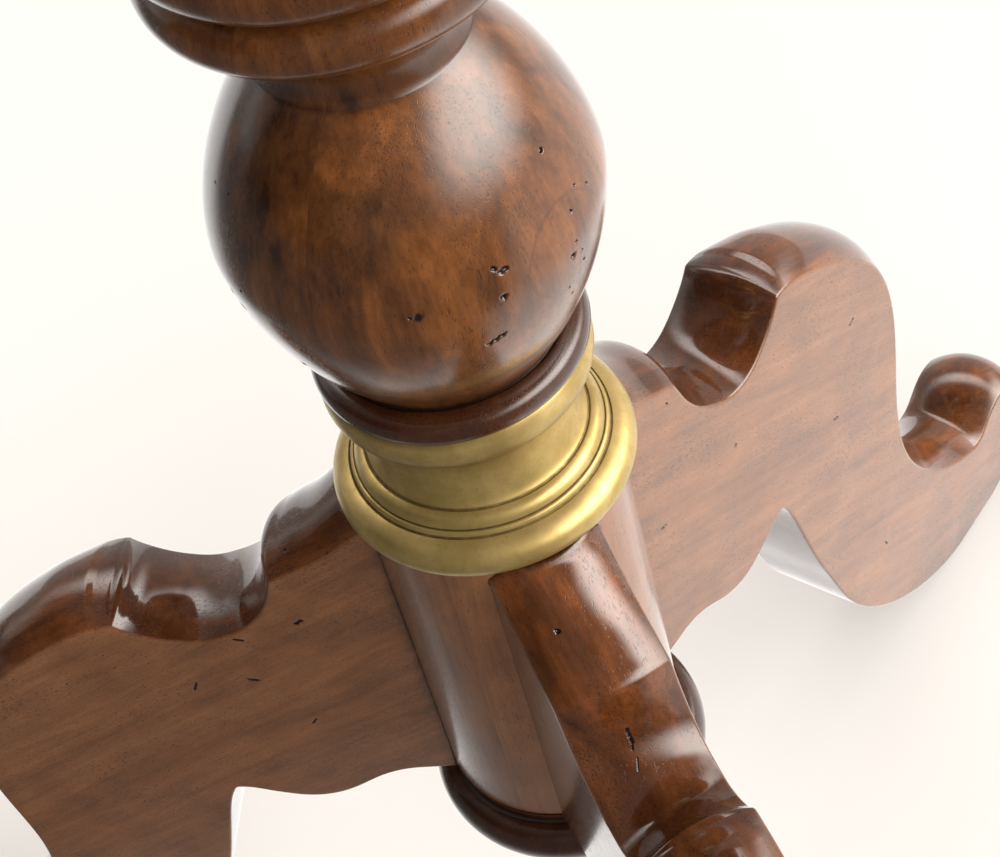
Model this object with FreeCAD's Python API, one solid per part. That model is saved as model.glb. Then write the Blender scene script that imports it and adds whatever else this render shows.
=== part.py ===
import FreeCAD, Part
import math
import os

# Tilt-top pedestal table: round top on a turned column, brass collar, three scrolled plank legs.
# Millimetres. Origin on the floor under the column's axis, +Z up, one leg pointing along -Y.
# The top swings about the X-parallel pins at the rear of the tilt block, the -Y side rising.

# ------------------------------------------------------------------ driving dimensions
RF = 44.45            # outer radius of the brass collar's flange, the module of the turning
Z_FLANGE = 7.0 * RF   # height of the flange's widest line above the floor
TABLE_H = 762.0       # height of the table's top surface
TOP_R = 330.0         # radius of the round top
TOP_T = 22.0          # thickness of the top board
HUB_R = 0.875 * RF    # radius of the hub the legs meet
LEG_W = 0.405 * RF    # half the thickness of a leg
LEG_AZ = {"leg_front": -90.0, "leg_right": 30.0, "leg_left": 150.0}
ROD_R = 5.0           # M10 tie rod
ROD_HOLE_R = 5.5
BLOCK_X = 75.0        # half width of the tilt block
BLOCK_FRONT = -75.0   # front face of the tilt block
BLOCK_T = 38.0        # thickness of the tilt block
BLOCK_GAP = 0.4       # space between the block and the underside of the top
PIN_R = 6.0           # tilt pins
PIN_Y = 60.0          # tilt axis, behind the column's axis
PIN_CLEAR = 0.06      # radial running clearance of the pins in the battens
BATTEN_W = 24.0
BATTEN_D = 38.0
BATTEN_GAP = 0.5
BATTEN_Y = 240.0      # half length of a batten
GLIDE_R = 11.0
GLIDE_T = 3.0
DOWEL_R = 5.0
BOLT_TRAVEL = 13.0    # throw of the slide bolt

Z_UNDER = TABLE_H - TOP_T                 # underside of the top
Z_BLOCK_TOP = Z_UNDER - BLOCK_GAP
Z_BLOCK_BOT = Z_BLOCK_TOP - BLOCK_T
Z_PIN = Z_UNDER - 19.0                    # height of the tilt axis
BULL_R = Z_BLOCK_TOP - Z_PIN              # quarter round at the block's upper rear edge

V = FreeCAD.Vector


def zf(u):
    return Z_FLANGE + u * RF


# ------------------------------------------------------------------ helpers
def path_edges(items, to3d):
    """items: first a point, then ("l", p) straight runs or ("s", [p, ...]) smooth runs through points."""
    edges = []
    cur = items[0]
    for kind, val in items[1:]:
        if kind == "l":
            edges.append(Part.makeLine(to3d(cur), to3d(val)))
            cur = val
        else:
            pts = [to3d(cur)] + [to3d(p) for p in val]
            c = Part.BSplineCurve()
            c.interpolate(pts)
            edges.append(c.toShape())
            cur = val[-1]
    return edges


def turned(items):
    """Solid of revolution about Z from a closed (r, z) outline in millimetres."""
    edges = path_edges(items, lambda p: V(p[0], 0, p[1]))
    wire = Part.Wire(edges)
    face = Part.Face(wire)
    solid = face.revolve(V(0, 0, 0), V(0, 0, 1), 360)
    if solid.Volume < 0:
        solid.reverse()
    return solid


def cyl(r, z0, z1, x=0.0, y=0.0):
    return Part.makeCylinder(r, z1 - z0, V(x, y, z0), V(0, 0, 1))


def box(x0, x1, y0, y1, z0, z1):
    return Part.makeBox(x1 - x0, y1 - y0, z1 - z0, V(x0, y0, z0))


def spin(shape, az):
    s = shape.copy()
    s.rotate(V(0, 0, 0), V(0, 0, 1), az)
    return s


def arc_pts(cr, cz, rad_r, rad_z, a0, a1, n):
    return [(cr + rad_r * math.cos(math.radians(a0 + (a1 - a0) * i / n)),
             cz + rad_z * math.sin(math.radians(a0 + (a1 - a0) * i / n))) for i in range(n + 1)]


def R(pts):
    """(r, z) in modules from the flange's plane to millimetres."""
    return [(r * RF, zf(z)) for r, z in pts]


# ------------------------------------------------------------------ brass collar
collar_in = 24.6
collar = turned([(collar_in, zf(-0.13))]
                + [("l", (0.90 * RF, zf(-0.13)))]
                + [("s", R([(0.965, -0.095), (1.0, 0.0), (0.975, 0.075), (0.915, 0.13), (0.866, 0.150)]))]
                + [("l", (0.860 * RF, zf(0.142)))]
                + [("s", R([(0.851, 0.158), (0.842, 0.178), (0.828, 0.186)]))]
                + [("l", (0.822 * RF, zf(0.180)))]
                + [("s", R([(0.812, 0.215), (0.790, 0.250), (0.745, 0.275)]))]
                + [("l", (0.735 * RF, zf(0.268)))]
                + [("s", R([(0.712, 0.30), (0.690, 0.37), (0.680, 0.47), (0.682, 0.57), (0.700, 0.66), (0.742, 0.74), (0.800, 0.79)]))]
                + [("l", (0.822 * RF, zf(0.795)))]
                + [("s", R([(0.842, 0.825), (0.858, 0.875), (0.866, 0.93), (0.858, 0.985), (0.842, 1.025)]))]
                + [("l", (0.836 * RF, zf(1.032)))]
                + [("l", (collar_in, zf(1.032)))]
                + [("l", (collar_in, zf(-0.13)))])

# ------------------------------------------------------------------ ball turning, with the ring below and the torus above
BALL_Z, BALL_R, BALL_LO, BALL_HI, BALL_N = 2.364, 1.167, 1.658, 1.495, 1.625


def ball_r(z):
    u = (BALL_Z - z) / BALL_LO if z < BALL_Z else (z - BALL_Z) / BALL_HI
    return BALL_R * max(0.0, 1 - u ** BALL_N) ** (1 / BALL_N)


ball_curve = [(ball_r(z), z) for z in [1.242, 1.30, 1.38, 1.48, 1.60, 1.75, 1.92, 2.10, 2.25, 2.364, 2.48, 2.62, 2.80, 2.98,
                                       3.14, 3.28, 3.40, 3.50]]
SPIGOT_R = 14.0
SHAFT_SPIGOT_R = 16.0
ball = turned([(ROD_HOLE_R, zf(1.036) + 22.0), ("l", (SPIGOT_R + 0.2, zf(1.036) + 22.0)), ("l", (SPIGOT_R + 0.2, zf(1.036)))]
              + [("l", (0.836 * RF, zf(1.036)))]
              + [("s", R([(0.862, 1.065), (0.878, 1.115), (0.866, 1.17), (0.838, 1.20), (0.805, 1.212)]))]
              + [("l", (0.795 * RF, zf(1.222)))]
              + [("l", (0.758 * RF, zf(1.230)))]
              + [("l", (ball_curve[0][0] * RF, zf(1.242)))]
              + [("s", R(ball_curve[1:]))]
              + [("s", R([(0.592, 3.60), (0.612, 3.72), (0.665, 3.83), (0.76, 3.93), (0.86, 3.975)]))]
              + [("l", (0.895 * RF, zf(3.98)))]
              + [("l", (0.895 * RF, zf(4.012)))]
              + [("s", R([(0.985, 4.040), (1.055, 4.110), (1.083, 4.205), (1.060, 4.300), (1.000, 4.370), (0.955, 4.388)]))]
              + [("l", (0.930 * RF, zf(4.395)))]
              + [("l", (SHAFT_SPIGOT_R + 0.2, zf(4.395))), ("l", (SHAFT_SPIGOT_R + 0.2, zf(4.395) - 22.5)),
                 ("l", (ROD_HOLE_R, zf(4.395) - 22.5)), ("l", (ROD_HOLE_R, zf(1.036) + 22.0))])

# ------------------------------------------------------------------ upper column
zc1 = Z_BLOCK_BOT
top_u = (zc1 - Z_FLANGE) / RF
shaft = turned([(ROD_HOLE_R, zf(4.40) - 22.0), ("l", (SHAFT_SPIGOT_R, zf(4.40) - 22.0)), ("l", (SHAFT_SPIGOT_R, zf(4.40)))]
               + [("l", (0.945 * RF, zf(4.40)))]
               + [("l", (0.985 * RF, zf(4.415)))]
               + [("s", R([(1.065, 4.45), (1.115, 4.53), (1.130, 4.62), (1.112, 4.71), (1.055, 4.79), (0.985, 4.82)]))]
               + [("l", (0.930 * RF, zf(4.825))), ("l", (0.930 * RF, zf(4.875)))]
               + [("l", (0.845 * RF, zf(4.885)))]
               + [("s", R([(0.865, 4.96), (0.930, 5.12), (0.985, 5.34), (0.990, 5.66), (0.945, 6.03), (0.862, 6.45), (0.772, 6.90),
                           (0.700, 7.32), (0.655, 7.66)]))]
               + [("l", (0.700 * RF, zf(7.677)))]
               + [("s", R([(0.762, 7.702), (0.790, 7.762), (0.762, 7.822), (0.700, 7.847)]))]
               + [("l", (0.640 * RF, zf(7.857)))]
               + [("s", R([(0.650, 7.982), (0.700, 8.142), (0.800, 8.282), (0.930, 8.362), (1.010, 8.387)]))]
               + [("l", (1.050 * RF, zf(8.392)))]
               + [("s", R([(1.115, 8.422), (1.150, 8.502), (1.150, 8.622), (1.125, 8.712)]))]
               + [("l", (1.100 * RF, zc1)), ("l", (ROD_HOLE_R, zc1)), ("l", (ROD_HOLE_R, zf(4.40) - 22.0))])

# ------------------------------------------------------------------ hub with its spigots
hub = turned([(ROD_HOLE_R, zf(-3.115)), ("l", (HUB_R - 2.2, zf(-3.115)))]
             + [("s", [(HUB_R - 0.8, zf(-3.115) + 0.5), (HUB_R, zf(-3.115) + 2.0)])]
             + [("l", (HUB_R, zf(-0.135))), ("l", (24.4, zf(-0.135))), ("l", (24.4, zf(1.030))), ("l", (SPIGOT_R, zf(1.030))),
                ("l", (SPIGOT_R, zf(1.030) + 20.0)), ("l", (ROD_HOLE_R, zf(1.030) + 20.0)), ("l", (ROD_HOLE_R, zf(-3.115)))])

# ------------------------------------------------------------------ disc under the hub and its turned drop
Z_DISC_BOT = zf(-3.64)
REC_T = 14.0
disc = turned([(ROD_HOLE_R, zf(-3.120)), ("l", (0.865 * RF, zf(-3.120))), ("l", (0.865 * RF, zf(-3.185)))]
              + [("l", (0.885 * RF, zf(-3.195)))]
              + [("s", R([(0.955, -3.225), (1.005, -3.300), (1.023, -3.395), (1.005, -3.490), (0.955, -3.565), (0.885, -3.595)]))]
              + [("l", (0.845 * RF, zf(-3.60))), ("l", (0.845 * RF, Z_DISC_BOT)), ("l", (13.5, Z_DISC_BOT)),
                 ("l", (13.5, Z_DISC_BOT + REC_T)), ("l", (ROD_HOLE_R, Z_DISC_BOT + REC_T)), ("l", (ROD_HOLE_R, zf(-3.120)))])
drop = turned([(5.2, Z_DISC_BOT), ("l", (0.66 * RF, Z_DISC_BOT))]
              + [("s", R([(0.60, -3.68), (0.50, -3.72), (0.455, -3.79)]))]
              + [("l", (0.47 * RF, zf(-3.80)))]
              + [("s", R([(0.525, -3.86), (0.548, -3.96), (0.522, -4.08), (0.430, -4.22), (0.300, -4.34), (0.215, -4.43), (0.190, -4.50)]))]
              + [("s", R([(0.215, -4.55), (0.222, -4.60), (0.190, -4.67), (0.110, -4.715), (0.0, -4.73)]))]
              + [("l", (0.0, Z_DISC_BOT - 13.0)), ("l", (5.2, Z_DISC_BOT - 13.0)), ("l", (5.2, Z_DISC_BOT))])

# ------------------------------------------------------------------ tie rod with its nuts and washers
Z_CBORE = Z_BLOCK_TOP - 16.0
rod = cyl(ROD_R, Z_DISC_BOT - 12.0, Z_CBORE + 13.0)


def hex_nut(z0, h, af, hole):
    pts = [V(af / math.sqrt(3) * math.cos(math.radians(60 * i)), af / math.sqrt(3) * math.sin(math.radians(60 * i)), z0) for i in range(7)]
    nut = Part.Face(Part.makePolygon(pts)).extrude(V(0, 0, h))
    nut = nut.common(cyl(af / math.sqrt(3) - 0.4, z0, z0 + h))
    return nut.cut(cyl(hole, z0 - 1, z0 + h + 1))


def washer(z0, h, ro, ri):
    return cyl(ro, z0, z0 + h).cut(cyl(ri, z0 - 1, z0 + h + 1))


nuts = Part.makeCompound([hex_nut(Z_DISC_BOT + REC_T - 10.2, 8.0, 16.0, ROD_R + 0.06), hex_nut(Z_CBORE + 2.2, 8.0, 16.0, ROD_R + 0.06)])
washers = Part.makeCompound([washer(Z_DISC_BOT + REC_T - 2.1, 2.0, 12.0, 5.4), washer(Z_CBORE + 0.1, 2.0, 12.0, 5.4)])

# ------------------------------------------------------------------ scrolled plank leg, outline in (s, z) modules from the column's axis
TOP_CURVE = [(0.55, -0.10), (0.70, -0.21), (0.86, -0.33), (1.03, -0.455), (1.15, -0.545), (1.28, -0.63), (1.42, -0.705), (1.52, -0.758)]
NOSE = [(1.575, -0.80), (1.615, -0.86), (1.655, -0.96), (1.70, -1.08), (1.76, -1.19), (1.85, -1.295), (1.98, -1.40), (2.12, -1.475),
        (2.26, -1.51), (2.40, -1.49), (2.53, -1.43), (2.66, -1.345), (2.78, -1.255), (2.86, -1.212)]
KNEE = [(2.93, -1.215), (3.06, -1.255), (3.24, -1.335), (3.46, -1.455), (3.72, -1.635), (3.97, -1.855), (4.18, -2.11), (4.33, -2.41),
        (4.41, -2.76), (4.42, -3.15), (4.38, -3.56), (4.34, -3.98), (4.36, -4.40), (4.47, -4.82), (4.69, -5.22), (5.00, -5.56),
        (5.34, -5.80), (5.62, -5.92)]
TOE = [(5.76, -5.90), (5.90, -5.80), (6.06, -5.72), (6.24, -5.73), (6.40, -5.83), (6.50, -6.00), (6.53, -6.22), (6.49, -6.46),
       (6.38, -6.68), (6.20, -6.84), (5.98, -6.915), (5.80, -6.9325)]
SOLE_IN = (5.20, -6.9325)
ARCH = [(5.00, -6.90), (4.70, -6.80), (4.36, -6.62), (4.02, -6.38), (3.70, -6.08), (3.44, -5.74), (3.24, -5.36), (3.09, -4.96),
        (2.95, -4.58), (2.83, -4.20), (2.735, -3.86), (2.655, -3.58), (2.575, -3.38)]
CORNER = (2.535, -3.312)
UNDER = [(2.42, -3.325), (2.30, -3.37), (2.15, -3.425), (2.00, -3.462), (1.84, -3.458), (1.67, -3.405), (1.50, -3.305), (1.36, -3.22),
         (1.22, -3.165), (1.05, -3.14)]


def crown_top(s, z):
    """Height of the crown in the middle of the leg's thickness, in modules, along the outer side of the outline."""
    if s < 1.52:
        return 0.17
    if s < 1.98:
        return 0.17 - 0.15 * (s - 1.52) / 0.46
    if s < 2.53:
        return 0.02
    if s < 2.95:
        return 0.02 + 0.10 * (s - 2.53) / 0.42
    return 0.12


def offset_curve(pts, t, fixed_last=False):
    """Moves the points of an outer run outward by the crown at t, a share of the half thickness."""
    k = 1 - abs(t) ** 2.2
    out = []
    for i, (s, z) in enumerate(pts):
        a = pts[max(0, i - 1)]
        b = pts[min(len(pts) - 1, i + 1)]
        ds, dz = b[0] - a[0], b[1] - a[1]
        n = math.hypot(ds, dz)
        h = crown_top(s, z) * k
        if fixed_last and i > len(pts) - 5:
            h *= (len(pts) - 1 - i) / 4.0
        out.append((s - dz / n * h, z + ds / n * h))
    return out


def leg_wire(t):
    outer = TOP_CURVE + NOSE + KNEE + TOE
    off = offset_curve(outer, t, fixed_last=True)
    n0, n1, n2 = len(TOP_CURVE), len(NOSE), len(KNEE)
    a, b, c, d = off[:n0], off[n0:n0 + n1], off[n0 + n1:n0 + n1 + n2], off[n0 + n1 + n2:]
    y = t * LEG_W

    def P(p):
        return V(p[0] * RF, y, zf(p[1]))
    items = [a[0], ("s", a[1:]), ("s", b), ("s", c), ("s", d), ("l", SOLE_IN), ("s", ARCH + [CORNER]), ("s", UNDER),
             ("l", (0.55, -3.135)), ("l", a[0])]
    return Part.Wire(path_edges(items, P))


leg_parts = [leg_wire(t) for t in (-1.0, -0.85, -0.5, 0.0, 0.5, 0.85, 1.0)]
leg_blank = Part.makeLoft(leg_parts, True, False)
if leg_blank.Volume < 0:
    leg_blank.reverse()
hub_cut = cyl(HUB_R + 0.1, zf(-3.5), zf(-0.135)).fuse(cyl(1.03 * RF, zf(-0.135), zf(0.6)))
leg_blank = leg_blank.cut(hub_cut)
DOWEL_Z = (zf(-1.30), zf(-2.65))
DOWEL_S = (17.0, 67.0)


def along_s(r, s0, s1, z):
    return Part.makeCylinder(r, s1 - s0, V(s0, 0, z), V(1, 0, 0))


for z in DOWEL_Z:
    leg_blank = leg_blank.cut(along_s(DOWEL_R + 0.1, 20.0, DOWEL_S[1] + 1.0, z))
GLIDE_S = 5.52 * RF
leg_blank = leg_blank.cut(cyl(1.6, GLIDE_T - 1.0, GLIDE_T + 17.0, GLIDE_S, 0))
legs = {name: spin(leg_blank, az) for name, az in LEG_AZ.items()}
dowels, glides = [], []
for az in LEG_AZ.values():
    for z in DOWEL_Z:
        hub = hub.cut(spin(along_s(DOWEL_R + 0.1, DOWEL_S[0] - 1.0, HUB_R + 2.0, z), az))
        dowels.append(spin(along_s(DOWEL_R, DOWEL_S[0], DOWEL_S[1], z), az))
    g = cyl(GLIDE_R, 0.0, GLIDE_T, GLIDE_S, 0)
    g = g.makeFillet(0.8, [e for e in g.Edges if abs(e.BoundBox.ZMax) < 1e-6 and abs(e.BoundBox.ZMin) < 1e-6])
    g = g.fuse(cyl(1.5, GLIDE_T - 0.5, GLIDE_T + 15.0, GLIDE_S, 0))
    glides.append(spin(g, az))

# ------------------------------------------------------------------ round top with a thumb-moulded edge
z0, z1 = Z_UNDER, TABLE_H
top = turned([(0.0, z0), ("l", (TOP_R - 14.0, z0))]
             + [("s", [(TOP_R - 8.0, z0 + 1.2), (TOP_R - 3.5, z0 + 4.0), (TOP_R - 2.0, z0 + 7.0)])]
             + [("l", (TOP_R - 2.0, z0 + 8.0)), ("l", (TOP_R - 0.6, z0 + 8.0))]
             + [("s", [(TOP_R, z0 + 10.5), (TOP_R - 0.6, z0 + 14.5), (TOP_R - 3.0, z0 + 18.0), (TOP_R - 7.0, z0 + 20.4), (TOP_R - 11.0, z0 + 21.0)])]
             + [("l", (TOP_R - 11.0, z1)), ("l", (0.0, z1)), ("l", (0.0, z0))])

# ------------------------------------------------------------------ tilt block, quarter-round at its upper rear edge
rear = PIN_Y + BULL_R
block = box(-BLOCK_X, BLOCK_X, BLOCK_FRONT, PIN_Y, Z_BLOCK_BOT, Z_BLOCK_TOP)
block = block.fuse(box(-BLOCK_X, BLOCK_X, PIN_Y - 1, rear, Z_BLOCK_BOT, Z_PIN))
block = block.fuse(Part.makeCylinder(BULL_R, 2 * BLOCK_X, V(-BLOCK_X, PIN_Y, Z_PIN), V(1, 0, 0)))
block = block.common(box(-BLOCK_X, BLOCK_X, BLOCK_FRONT, rear, Z_BLOCK_BOT, Z_BLOCK_TOP)).removeSplitter()
edges = [e for e in block.Edges if abs(e.BoundBox.ZMax - Z_BLOCK_BOT) < 1e-6]
block = block.makeChamfer(4.0, edges)
block = block.cut(cyl(ROD_HOLE_R, Z_BLOCK_BOT - 1, Z_BLOCK_TOP + 1)).cut(cyl(14.0, Z_CBORE, Z_BLOCK_TOP + 1))

# strike plate let into the block's front face, with the pocket behind it
BOLT_Z0, BOLT_Z1, BOLT_HX = Z_UNDER - 13.5, Z_UNDER - 5.5, 6.0
SLOT = (-6.8, 6.8, Z_UNDER - 14.1, Z_UNDER - 4.9)
ST_X, ST_Z0, ST_Z1, ST_T = 16.0, Z_UNDER - 23.0, Z_UNDER - 2.0, 1.5
block = block.cut(box(-ST_X - 0.1, ST_X + 0.1, BLOCK_FRONT - 1, BLOCK_FRONT + ST_T + 0.1, ST_Z0 - 0.1, ST_Z1 + 0.1))
block = block.cut(box(SLOT[0] - 0.4, SLOT[1] + 0.4, BLOCK_FRONT, BLOCK_FRONT + 20.0, SLOT[2] - 0.4, SLOT[3] + 0.4))
strike = box(-ST_X, ST_X, BLOCK_FRONT, BLOCK_FRONT + ST_T, ST_Z0, ST_Z1)
strike = strike.cut(box(SLOT[0], SLOT[1], BLOCK_FRONT - 1, BLOCK_FRONT + ST_T + 1, SLOT[2], SLOT[3]))


def screw(p, d, head_r, head_h, shank_r, length):
    """Countersunk wood screw: head face at p, driven along the unit vector d."""
    cone = Part.makeCone(head_r, shank_r, head_h, p, d)
    shank = Part.makeCylinder(shank_r, length - head_h - 4.0, p + d * head_h, d)
    tip = Part.makeCone(shank_r, 0.3, 4.0, p + d * (length - 4.0), d)
    slot_dir = V(1, 0, 0) if abs(d.x) < 0.5 else V(0, 1, 0)
    s = cone.fuse(shank).fuse(tip)
    ax = d.cross(slot_dir)
    c = Part.makeBox(2 * head_r + 2, 0.9, 0.9)
    m = FreeCAD.Matrix(slot_dir.x, ax.x, d.x, 0, slot_dir.y, ax.y, d.y, 0, slot_dir.z, ax.z, d.z, 0, 0, 0, 0, 1)
    pl = FreeCAD.Placement(m)
    c.Placement = FreeCAD.Placement(p - slot_dir * (head_r + 1) - ax * 0.45 - d * 0.1, pl.Rotation)
    return s.cut(c)


def screw_hole(p, d, head_r, head_h, shank_r, length, cb=0.0):
    h = Part.makeCone(head_r + 0.1, shank_r + 0.1, head_h, p, d)
    h = h.fuse(Part.makeCylinder(shank_r + 0.1, length + 0.6, p, d))
    h = h.fuse(Part.makeCylinder(head_r + 0.1, cb + 1.0, p - d * (cb + 1.0), d))
    return h


strike_screws = []
for x in (-11.6, 11.6):
    p, d = V(x, BLOCK_FRONT, Z_UNDER - 9.5), V(0, 1, 0)
    strike_screws.append(screw(p, d, 2.7, 1.4, 1.4, 16.0))
    h = screw_hole(p, d, 2.7, 1.4, 1.4, 16.0)
    strike = strike.cut(h)
    block = block.cut(h)
pins = {}
for name, sgn in (("pivot_pin_right", 1), ("pivot_pin_left", -1)):
    x0, x1 = (45.0, BLOCK_X + BATTEN_GAP + BATTEN_W - 1.0)
    c = Part.makeCylinder(PIN_R, x1 - x0, V(x0 * sgn, PIN_Y, Z_PIN), V(sgn, 0, 0))
    c = c.makeChamfer(0.8, [e for e in c.Edges if e.BoundBox.XLength < 1e-6])
    pins[name] = c
    block = block.cut(Part.makeCylinder(PIN_R + 0.05, BLOCK_X - x0 + 2.0, V((x0 - 1.0) * sgn, PIN_Y, Z_PIN), V(sgn, 0, 0)))

# ------------------------------------------------------------------ battens under the top
battens, batten_screws = {}, []
SCREW_Y = (-195.0, -80.0, 130.0, 200.0)
for name, sgn in (("batten_right", 1), ("batten_left", -1)):
    xa = BLOCK_X + BATTEN_GAP
    pts = [(-BATTEN_Y, Z_UNDER), (BATTEN_Y, Z_UNDER), (BATTEN_Y, Z_UNDER - 11.0), (BATTEN_Y - 8.0, Z_UNDER - 14.0),
           (BATTEN_Y - 110.0, Z_UNDER - BATTEN_D + 2.0), (BATTEN_Y - 122.0, Z_UNDER - BATTEN_D), (-BATTEN_Y + 122.0, Z_UNDER - BATTEN_D),
           (-BATTEN_Y + 110.0, Z_UNDER - BATTEN_D + 2.0), (-BATTEN_Y + 8.0, Z_UNDER - 14.0), (-BATTEN_Y, Z_UNDER - 11.0),
           (-BATTEN_Y, Z_UNDER)]
    f = Part.Face(Part.makePolygon([V(xa * sgn, y, z) for y, z in pts]))
    b = f.extrude(V(BATTEN_W * sgn, 0, 0))
    b = b.cut(Part.makeCylinder(PIN_R + PIN_CLEAR, BATTEN_W + 4, V((xa - 2) * sgn, PIN_Y, Z_PIN), V(sgn, 0, 0)))
    for y in SCREW_Y:
        depth = BATTEN_D if abs(y) < BATTEN_Y - 122 else 14.0 + (BATTEN_Y - 8.0 - abs(y)) * (22.0 / 102.0)
        cb = max(0.0, depth - 16.0)
        p = V((xa + BATTEN_W / 2) * sgn, y, Z_UNDER - 14.0)
        d = V(0, 0, 1)
        batten_screws.append(screw(p, d, 4.0, 2.6, 2.1, 28.0))
        h = screw_hole(p, d, 4.0, 2.6, 2.1, 28.0, cb + 4.0)
        b = b.cut(h)
        top = top.cut(h)
    battens[name] = b

# ------------------------------------------------------------------ slide-bolt catch under the top, in front of the block
CP_Y0, CP_Y1, CP_X, CP_T = -142.0, -86.0, 22.0, 3.0
plate = box(-CP_X, CP_X, CP_Y0, CP_Y1, Z_UNDER - CP_T, Z_UNDER)
plate = plate.makeFillet(5.0, [e for e in plate.Edges if e.BoundBox.ZLength > CP_T - 1e-6])
for y0 in (-138.0, -100.0):
    guide = box(-12.0, 12.0, y0, y0 + 10.0, Z_UNDER - 18.5, Z_UNDER - CP_T + 0.5)
    guide = guide.makeFillet(3.0, [e for e in guide.Edges if e.BoundBox.YLength > 9.9 and e.BoundBox.ZMin < Z_UNDER - 18.0])
    plate = plate.fuse(guide)
plate = plate.cut(box(-BOLT_HX - 0.3, BOLT_HX + 0.3, -150.0, -80.0, BOLT_Z0 - 0.3, BOLT_Z1 + 0.3))
NOSE_Y = BLOCK_FRONT - 2.5
bolt = box(-BOLT_HX, BOLT_HX, -146.0, NOSE_Y, BOLT_Z0, BOLT_Z1)
bolt = bolt.makeFillet(2.4, [e for e in bolt.Edges if abs(e.BoundBox.YMin - NOSE_Y) < 1e-6 and abs(e.BoundBox.YMax - NOSE_Y) < 1e-6])
KNOB_Y = -119.0
bolt = bolt.cut(cyl(2.0, BOLT_Z0 - 1, BOLT_Z0 + 5.0, 0, KNOB_Y))
knob = turned([(0.0, BOLT_Z0 + 4.5), ("l", (1.95, BOLT_Z0 + 4.5)), ("l", (1.95, BOLT_Z0)), ("l", (3.2, BOLT_Z0))]
              + [("s", [(2.9, BOLT_Z0 - 3.0), (3.4, BOLT_Z0 - 6.0)])]
              + [("s", [(6.2, BOLT_Z0 - 7.6), (8.0, BOLT_Z0 - 10.6), (7.0, BOLT_Z0 - 14.2), (3.8, BOLT_Z0 - 16.2), (0.0, BOLT_Z0 - 16.8)])]
              + [("l", (0.0, BOLT_Z0 + 4.5))])
knob.translate(V(0, KNOB_Y, 0))
# bowed friction leaf between the plate and the bolt
leaf_z = Z_UNDER - CP_T
pts_lo = [(-127.0, leaf_z - 0.55), (-119.0, leaf_z - 1.75), (-111.0, leaf_z - 0.55)]
pts_hi = [(-127.0, leaf_z - 0.1), (-119.0, leaf_z - 1.30), (-111.0, leaf_z - 0.1)]
leaf = Part.Face(Part.Wire(path_edges([pts_lo[0], ("s", pts_lo[1:]), ("l", pts_hi[2]), ("s", [pts_hi[1], pts_hi[0]]), ("l", pts_lo[0])],
                                      lambda p: V(-4.0, p[0], p[1])))).extrude(V(8.0, 0, 0))
catch_screws = []
for x in (-17.2, 17.2):
    for y in (-136.5, -91.5):
        p, d = V(x, y, Z_UNDER - CP_T), V(0, 0, 1)
        catch_screws.append(screw(p, d, 2.9, 1.5, 1.5, 16.0))
        h = screw_hole(p, d, 2.9, 1.5, 1.5, 16.0)
        plate = plate.cut(h)
        top = top.cut(h)

# ------------------------------------------------------------------ out
nodes = {
    "table_top": top, "tilt_block": block, "strike_plate": strike, "strike_screws": Part.makeCompound(strike_screws),
    "batten_screws": Part.makeCompound(batten_screws), "catch_plate": plate, "catch_bolt": bolt, "catch_knob": knob, "catch_leaf": leaf,
    "catch_screws": Part.makeCompound(catch_screws), "column_shaft": shaft, "ball_turning": ball, "brass_collar": collar, "hub": hub,
    "base_disc": disc, "drop_finial": drop, "tie_rod": rod, "tie_rod_nuts": nuts, "tie_rod_washers": washers,
    "leg_dowels": Part.makeCompound(dowels), "foot_glides": Part.makeCompound(glides),
}
nodes.update(battens)
nodes.update(pins)
nodes.update(legs)

os.makedirs("parts", exist_ok=True)
for name, shape in sorted(nodes.items()):
    ok = shape.isValid()
    bb = shape.BoundBox
    print("%-18s valid=%s solids=%d vol=%.1f cm3  x %.1f..%.1f y %.1f..%.1f z %.1f..%.1f" % (
        name, ok, len(shape.Solids), shape.Volume / 1000.0, bb.XMin, bb.XMax, bb.YMin, bb.YMax, bb.ZMin, bb.ZMax))
    shape.exportStep("parts/%s.step" % name)
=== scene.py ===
import math

import bmesh
import bpy
import numpy as np
from mathutils import Matrix, Vector
from mathutils.geometry import delaunay_2d_cdt
from mathutils.kdtree import KDTree

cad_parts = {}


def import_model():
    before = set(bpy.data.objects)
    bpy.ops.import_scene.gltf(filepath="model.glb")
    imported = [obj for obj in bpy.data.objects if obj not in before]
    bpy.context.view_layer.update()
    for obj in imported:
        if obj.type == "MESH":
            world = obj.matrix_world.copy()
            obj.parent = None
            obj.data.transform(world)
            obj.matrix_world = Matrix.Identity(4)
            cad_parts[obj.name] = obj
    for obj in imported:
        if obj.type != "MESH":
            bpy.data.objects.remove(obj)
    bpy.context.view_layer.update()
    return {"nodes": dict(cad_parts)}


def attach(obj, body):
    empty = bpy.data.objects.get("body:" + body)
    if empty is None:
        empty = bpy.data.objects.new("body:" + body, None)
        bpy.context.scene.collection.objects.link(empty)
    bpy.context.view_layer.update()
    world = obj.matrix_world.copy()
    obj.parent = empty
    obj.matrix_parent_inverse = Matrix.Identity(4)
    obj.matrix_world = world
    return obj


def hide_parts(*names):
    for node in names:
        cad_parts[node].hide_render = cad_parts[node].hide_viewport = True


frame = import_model()
NODES = frame["nodes"]
SCN = bpy.context.scene
MM = 0.001

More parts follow.
